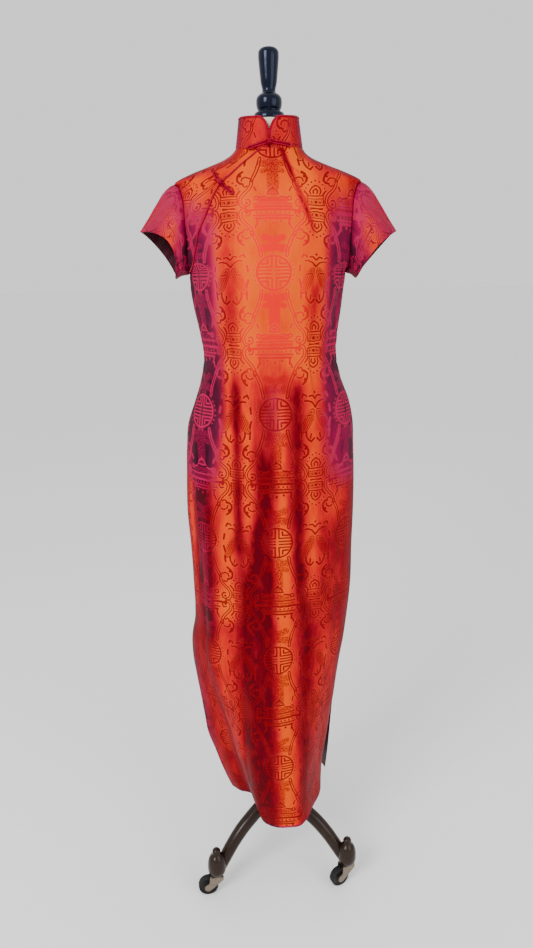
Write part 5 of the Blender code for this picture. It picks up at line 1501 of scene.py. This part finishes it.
def fork_mesh():
    outline = [(-TRAIL + 0.002, WHEEL_R + 0.0115)]
    for angle in np.radians(np.linspace(100, 290, 16)):
        outline.append((-TRAIL + 0.0085 * math.cos(angle), WHEEL_R + 0.0085 * math.sin(angle)))
    outline += [(0.0125, FORK_TOP_Z - 0.0110), (0.0138, FORK_TOP_Z - 0.0025), (0.0120, FORK_TOP_Z),
                (-0.0130, FORK_TOP_Z), (-0.0165, FORK_TOP_Z - 0.0035)]
    shape = bmesh.new()
    for side in (-1, 1):
        outer, inner = ([shape.verts.new((x, side * depth, z)) for x, z in outline]
                        for depth in (FORK_HALF_WIDTH, FORK_HALF_WIDTH - CHEEK_THICKNESS))
        shape.faces.new(outer)
        shape.faces.new(inner[::-1])
        for i in range(len(outline)):
            shape.faces.new((outer[i - 1], inner[i - 1], inner[i], outer[i]))
    crown = bmesh.ops.create_cube(shape, size=1.0)["verts"]
    bmesh.ops.scale(shape, verts=crown, vec=(0.0255, FORK_HALF_WIDTH * 2, 0.0035))
    bmesh.ops.translate(shape, verts=crown, vec=(-0.0005, 0.0, FORK_TOP_Z - 0.00175))
    bmesh.ops.recalc_face_normals(shape, faces=shape.faces)
    return mesh_from(shape, "caster_fork")


def wheel_mesh():
    half = WHEEL_WIDTH / 2
    side = ((0.0033, half), (0.0080, half), (0.0100, half - 0.0014), (0.0160, half - 0.0014),
            (0.0172, half - 0.0004), (WHEEL_R - 0.0014, half - 0.0002), (WHEEL_R - 0.0004, half - 0.0012),
            (WHEEL_R, half - 0.0028))
    profile = side + tuple((radius, -height) for radius, height in reversed(side)) + ((0.0033, half),)
    mesh = turned_mesh("caster_wheel", profile, 48)
    mesh.transform(Matrix.Rotation(math.pi / 2, 4, "X"))
    return mesh


def make_casters(stand):
    fork = fork_mesh()
    wheel = wheel_mesh()
    for number, (angle, turn) in enumerate(zip(LEG_ANGLES, CASTER_TURNS), start=1):
        toward = math.radians(angle)
        place = AXIS + Vector((FOOT_RADIUS * math.sin(toward), -FOOT_RADIUS * math.cos(toward), 0.0))
        turned = math.radians(turn)
        add_piece(f"caster_{number}_fork_plated", fork, f"caster_{number}_swivel",
                  [finish(dull_nickel_plate, stand.nickel)], [f"caster_{number}_fork"], place, turned)
        axle = place + Matrix.Rotation(turned, 3, "Z") @ Vector((-TRAIL, 0.0, WHEEL_R))
        add_piece(f"caster_{number}_wheel_moulded", wheel, f"caster_{number}_roller",
                  [finish(black_moulded_nylon, stand.nylon)], [f"caster_{number}_wheel"], axle, turned)


# ---------------------------------------------------------------- the studio

FLOOR_REACH = 60.0
CAMERA_PLACE = (-0.0100, -1.3901, 1.309)
CAMERA_TILT, CAMERA_ROLL = 74.3, -0.9     # degrees from straight down, and about its own line of sight
CAMERA_LENS, CAMERA_FILM = 27.04, 36.0    # mm
LIT_MIDDLE = Vector((0.0, 0.0, 1.0))      # what the lights are turned to
LIGHTS = (("key", (-1.6, -2.2, 2.4), 1.2), ("fill", (1.8, -1.8, 1.6), 1.6))   # setting, place and width


def make_stage(studio):
    for name in ("studio_floor", "camera", "key", "fill"):
        remove_old(name)
    mesh = grid_mesh("studio_floor", np.array([[(-FLOOR_REACH, -FLOOR_REACH, 0), (FLOOR_REACH, -FLOOR_REACH, 0)],
                                              [(-FLOOR_REACH, FLOOR_REACH, 0), (FLOOR_REACH, FLOOR_REACH, 0)]], float))
    floor = bpy.data.objects.new("studio_floor", mesh)
    mesh.materials.append(finish(matt_white_paper, studio.paper))
    collection().objects.link(floor)
    camera = bpy.data.cameras.new("camera")
    camera.lens = CAMERA_LENS
    camera.sensor_width = CAMERA_FILM
    seen = bpy.data.objects.new("camera", camera)
    seen.matrix_world = (Matrix.Translation(CAMERA_PLACE) @ Matrix.Rotation(math.radians(CAMERA_TILT), 4, "X")
                         @ Matrix.Rotation(math.radians(CAMERA_ROLL), 4, "Z"))
    collection().objects.link(seen)
    bpy.context.scene.camera = seen
    world = bpy.data.worlds.new("soft_studio")
    world.use_nodes = True
    back = world.node_tree.nodes["Background"]
    back.inputs["Color"].default_value = (1.0, 1.0, 1.0, 1.0)
    # The backdrop is lit more strongly than what stands before it.
    seen_first = add_node(world.node_tree, "ShaderNodeLightPath").outputs["Is Camera Ray"]
    lit = add_node(world.node_tree, MATH, seen_first, studio.backdrop - studio.soft_light, studio.soft_light,
                   operation="MULTIPLY_ADD")
    world.node_tree.links.new(lit.outputs[0], back.inputs["Strength"])
    bpy.context.scene.world = world
    for name, place, size in LIGHTS:
        data = bpy.data.lights.new(name, "AREA")
        data.size = size
        data.energy = getattr(studio, name)
        lamp = bpy.data.objects.new(name, data)
        lamp.location = place
        lamp.rotation_euler = (LIT_MIDDLE - Vector(place)).to_track_quat("-Z", "Y").to_euler()
        collection().objects.link(lamp)


# ---------------------------------------------------------------- settings, operators and panel


def size_of(name, description, metres, low, high):
    """A length that a user may change."""
    return bpy.props.FloatProperty(name=name, description=description, default=metres, min=low, max=high, precision=4,
                                   unit="LENGTH")


def colour_of(name, description, code):
    """A colour that a user may change, from its sRGB hex code."""
    return bpy.props.FloatVectorProperty(name=name, description=description, default=linear(code), min=0.0, max=1.0,
                                         size=3, subtype="COLOR")


class DressSettings(bpy.types.PropertyGroup):
    """Sizes and colours of the dress's silk and lining."""
    wall: size_of("Cloth thickness", "Silk, interlining and lining together", 0.0013, 0.0006, 0.0025)
    repeat_across: size_of("Repeat across", "From one column of roundels to the next", REPEAT_ACROSS, 0.12, 0.20)
    repeat_down: size_of("Repeat down", "From one roundel to the next in a column", REPEAT_DOWN, 0.20, 0.30)
    # Warp is the colour of the painted highlight at a fold's crest, weft that of the painted sheen where the cloth
    # turns away.
    warp: colour_of("Warp", "Orange of the warp at the crest of a fold", "#D24E00")
    weft: colour_of("Weft", "Magenta of the weft where the cloth turns away", "#A80A48")
    figure: colour_of("Figure", "Dark red of the woven figure", "#700812")
    lining: colour_of("Lining", "Plum acetate inside the dress", "#3A0F1C")


class TrimSettings(bpy.types.PropertyGroup):
    """Sizes and colour of the piping and frogs."""
    collar_cord: size_of("Collar piping", "Radius of the collar's piping", 0.0018, 0.0010, 0.0025)
    opening_cord: size_of("Opening piping", "Radius of the piping down the opening", 0.0015, 0.0010, 0.0020)
    frog_cord: size_of("Frog cord", "Radius of the cords in a frog's arms", 0.00165, 0.0010, 0.0020)
    satin: colour_of("Satin", "Crimson satin of the piping and frogs", "#8C0826")


class FormSettings(bpy.types.PropertyGroup):
    """Colours of the dress form."""
    jersey: colour_of("Jersey", "Cream cotton jersey over the form", "#CFC4AE")
    lacquer: colour_of("Neck cap", "Blue-black lacquer of the turned cap", "#060916")


class StandSettings(bpy.types.PropertyGroup):
    """Colours of the stand."""
    enamel: colour_of("Enamel", "Dark brown enamel of the hub, legs and tube", "#22150D")
    nickel: colour_of("Nickel", "Dull nickel of the caster forks", "#85786B")
    steel: colour_of("Steel", "Bright steel of the inner pole", "#A9A9A6")
    nylon: colour_of("Nylon", "Black nylon of the caster wheels", "#121110")


class StudioSettings(bpy.types.PropertyGroup):
    """Light and paper of the plain studio."""
    soft_light: bpy.props.FloatProperty(name="Soft light", description="Strength of the light from all round",
                                        default=1.15, min=0.0, max=4.0)
    backdrop: bpy.props.FloatProperty(name="Backdrop", description="How bright the backdrop looks",
                                      default=1.10, min=0.5, max=6.0)
    key: bpy.props.FloatProperty(name="Key light",
                                 description="Power of the light from the front and the right sleeve's side",
                                 default=80.0, min=0.0, max=400.0, unit="POWER")
    fill: bpy.props.FloatProperty(name="Fill light", description="Power of the light from the left sleeve's side",
                                  default=25.0, min=0.0, max=400.0, unit="POWER")
    paper: colour_of("Paper", "Matt paper of the floor", "#F6F6F6")


class CHEONGSAM_OT_collar_piping(bpy.types.Operator):
    """Run the satin piping round the collar's notch and top"""
    bl_idname = "cheongsam.collar_piping"
    bl_label = "Collar piping"

    def execute(self, context):
        make_collar_piping(context.scene.cheongsam_trim)
        return {"FINISHED"}


class CHEONGSAM_OT_opening_piping(bpy.types.Operator):
    """Run the satin piping down the curved opening"""
    bl_idname = "cheongsam.opening_piping"
    bl_label = "Opening piping"

    def execute(self, context):
        make_opening_piping(context.scene.cheongsam_trim)
        return {"FINISHED"}


class CHEONGSAM_OT_frogs(bpy.types.Operator):
    """Knot the frogs at the collar and the chest and lay down their arms"""
    bl_idname = "cheongsam.frogs"
    bl_label = "Frogs"

    def execute(self, context):
        make_frogs(context.scene.cheongsam_trim)
        return {"FINISHED"}


class CHEONGSAM_OT_hem_stitches(bpy.types.Operator):
    """Sew the hem's slip stitches on the front and the back"""
    bl_idname = "cheongsam.hem_stitches"
    bl_label = "Hem stitches"

    def execute(self, context):
        make_hem_stitches(context.scene.cheongsam_trim)
        return {"FINISHED"}


class CHEONGSAM_OT_front_panel(bpy.types.Operator):
    """Shape the front with its folds, creases, curved opening and slits"""
    bl_idname = "cheongsam.front_panel"
    bl_label = "Front panel"

    def execute(self, context):
        make_front_panel(context.scene.cheongsam_dress)
        return {"FINISHED"}


class CHEONGSAM_OT_under_front(bpy.types.Operator):
    """Shape the under front that carries on beneath the opening"""
    bl_idname = "cheongsam.under_front"
    bl_label = "Under front"

    def execute(self, context):
        make_under_front(context.scene.cheongsam_dress)
        return {"FINISHED"}


class CHEONGSAM_OT_back_panel(bpy.types.Operator):
    """Shape the back with its folds"""
    bl_idname = "cheongsam.back_panel"
    bl_label = "Back panel"

    def execute(self, context):
        make_back_panel(context.scene.cheongsam_dress)
        return {"FINISHED"}


class CHEONGSAM_OT_sleeves(bpy.types.Operator):
    """Set in both short sleeves"""
    bl_idname = "cheongsam.sleeves"
    bl_label = "Sleeves"

    def execute(self, context):
        for row in SLEEVES:
            make_sleeve(row, context.scene.cheongsam_dress)
        return {"FINISHED"}


class CHEONGSAM_OT_collar(bpy.types.Operator):
    """Shape the stand collar with its rounded notch"""
    bl_idname = "cheongsam.collar"
    bl_label = "Collar"

    def execute(self, context):
        make_collar(context.scene.cheongsam_dress)
        return {"FINISHED"}


class CHEONGSAM_OT_form(bpy.types.Operator):
    """Shape the jersey-covered form, clear of the dress"""
    bl_idname = "cheongsam.form"
    bl_label = "Form"

    def execute(self, context):
        make_form(context.scene.cheongsam_form)
        return {"FINISHED"}


class CHEONGSAM_OT_neck_cap(bpy.types.Operator):
    """Turn the lacquered neck cap and its knob"""
    bl_idname = "cheongsam.neck_cap"
    bl_label = "Neck cap"

    def execute(self, context):
        make_neck_cap(context.scene.cheongsam_form)
        return {"FINISHED"}


class CHEONGSAM_OT_pole_and_tube(bpy.types.Operator):
    """Make the sliding pole and the tube that it slides in"""
    bl_idname = "cheongsam.pole_and_tube"
    bl_label = "Pole and tube"

    def execute(self, context):
        make_pole_and_tube(context.scene.cheongsam_stand)
        return {"FINISHED"}


class CHEONGSAM_OT_base(bpy.types.Operator):
    """Make the hub and its three curved legs"""
    bl_idname = "cheongsam.base"
    bl_label = "Hub and legs"

    def execute(self, context):
        make_base(context.scene.cheongsam_stand)
        return {"FINISHED"}


class CHEONGSAM_OT_casters(bpy.types.Operator):
    """Make the three swivelling casters"""
    bl_idname = "cheongsam.casters"
    bl_label = "Casters"

    def execute(self, context):
        make_casters(context.scene.cheongsam_stand)
        return {"FINISHED"}


class CHEONGSAM_OT_studio(bpy.types.Operator):
    """Set the floor, the lights and the camera"""
    bl_idname = "cheongsam.studio"
    bl_label = "Studio"

    def execute(self, context):
        make_stage(context.scene.cheongsam_studio)
        return {"FINISHED"}


# In the order in which they run: trims come before the sheets that they are sewn to.
OPERATORS = (CHEONGSAM_OT_collar_piping, CHEONGSAM_OT_opening_piping, CHEONGSAM_OT_frogs, CHEONGSAM_OT_hem_stitches,
             CHEONGSAM_OT_front_panel, CHEONGSAM_OT_under_front, CHEONGSAM_OT_back_panel, CHEONGSAM_OT_sleeves,
             CHEONGSAM_OT_collar, CHEONGSAM_OT_form, CHEONGSAM_OT_neck_cap, CHEONGSAM_OT_pole_and_tube,
             CHEONGSAM_OT_base, CHEONGSAM_OT_casters, CHEONGSAM_OT_studio)
SETTINGS = {"cheongsam_dress": DressSettings, "cheongsam_trim": TrimSettings, "cheongsam_form": FormSettings,
            "cheongsam_stand": StandSettings, "cheongsam_studio": StudioSettings}


class CHEONGSAM_PT_pieces(bpy.types.Panel):
    """Sizes, colours and pieces of the dress, its form and its stand"""
    bl_label = "Cheongsam"
    bl_space_type = "VIEW_3D"
    bl_region_type = "UI"
    bl_category = "Cheongsam"

    def draw(self, context):
        for owner, group in SETTINGS.items():
            box = self.layout.box()
            for name in group.__annotations__:
                box.prop(getattr(context.scene, owner), name)
        for operator in OPERATORS:
            self.layout.operator(operator.bl_idname)


def register():
    for group in (*SETTINGS.values(), *OPERATORS, CHEONGSAM_PT_pieces):
        bpy.utils.register_class(group)
    for owner, group in SETTINGS.items():
        setattr(bpy.types.Scene, owner, bpy.props.PointerProperty(type=group))


def unregister():
    for owner in SETTINGS:
        delattr(bpy.types.Scene, owner)
    for group in (CHEONGSAM_PT_pieces, *reversed(OPERATORS), *SETTINGS.values()):
        bpy.utils.unregister_class(group)


def main():
    register()
    for operator in OPERATORS:
        getattr(bpy.ops.cheongsam, operator.bl_idname.split(".")[1])()


if __name__ == "__main__":
    main()
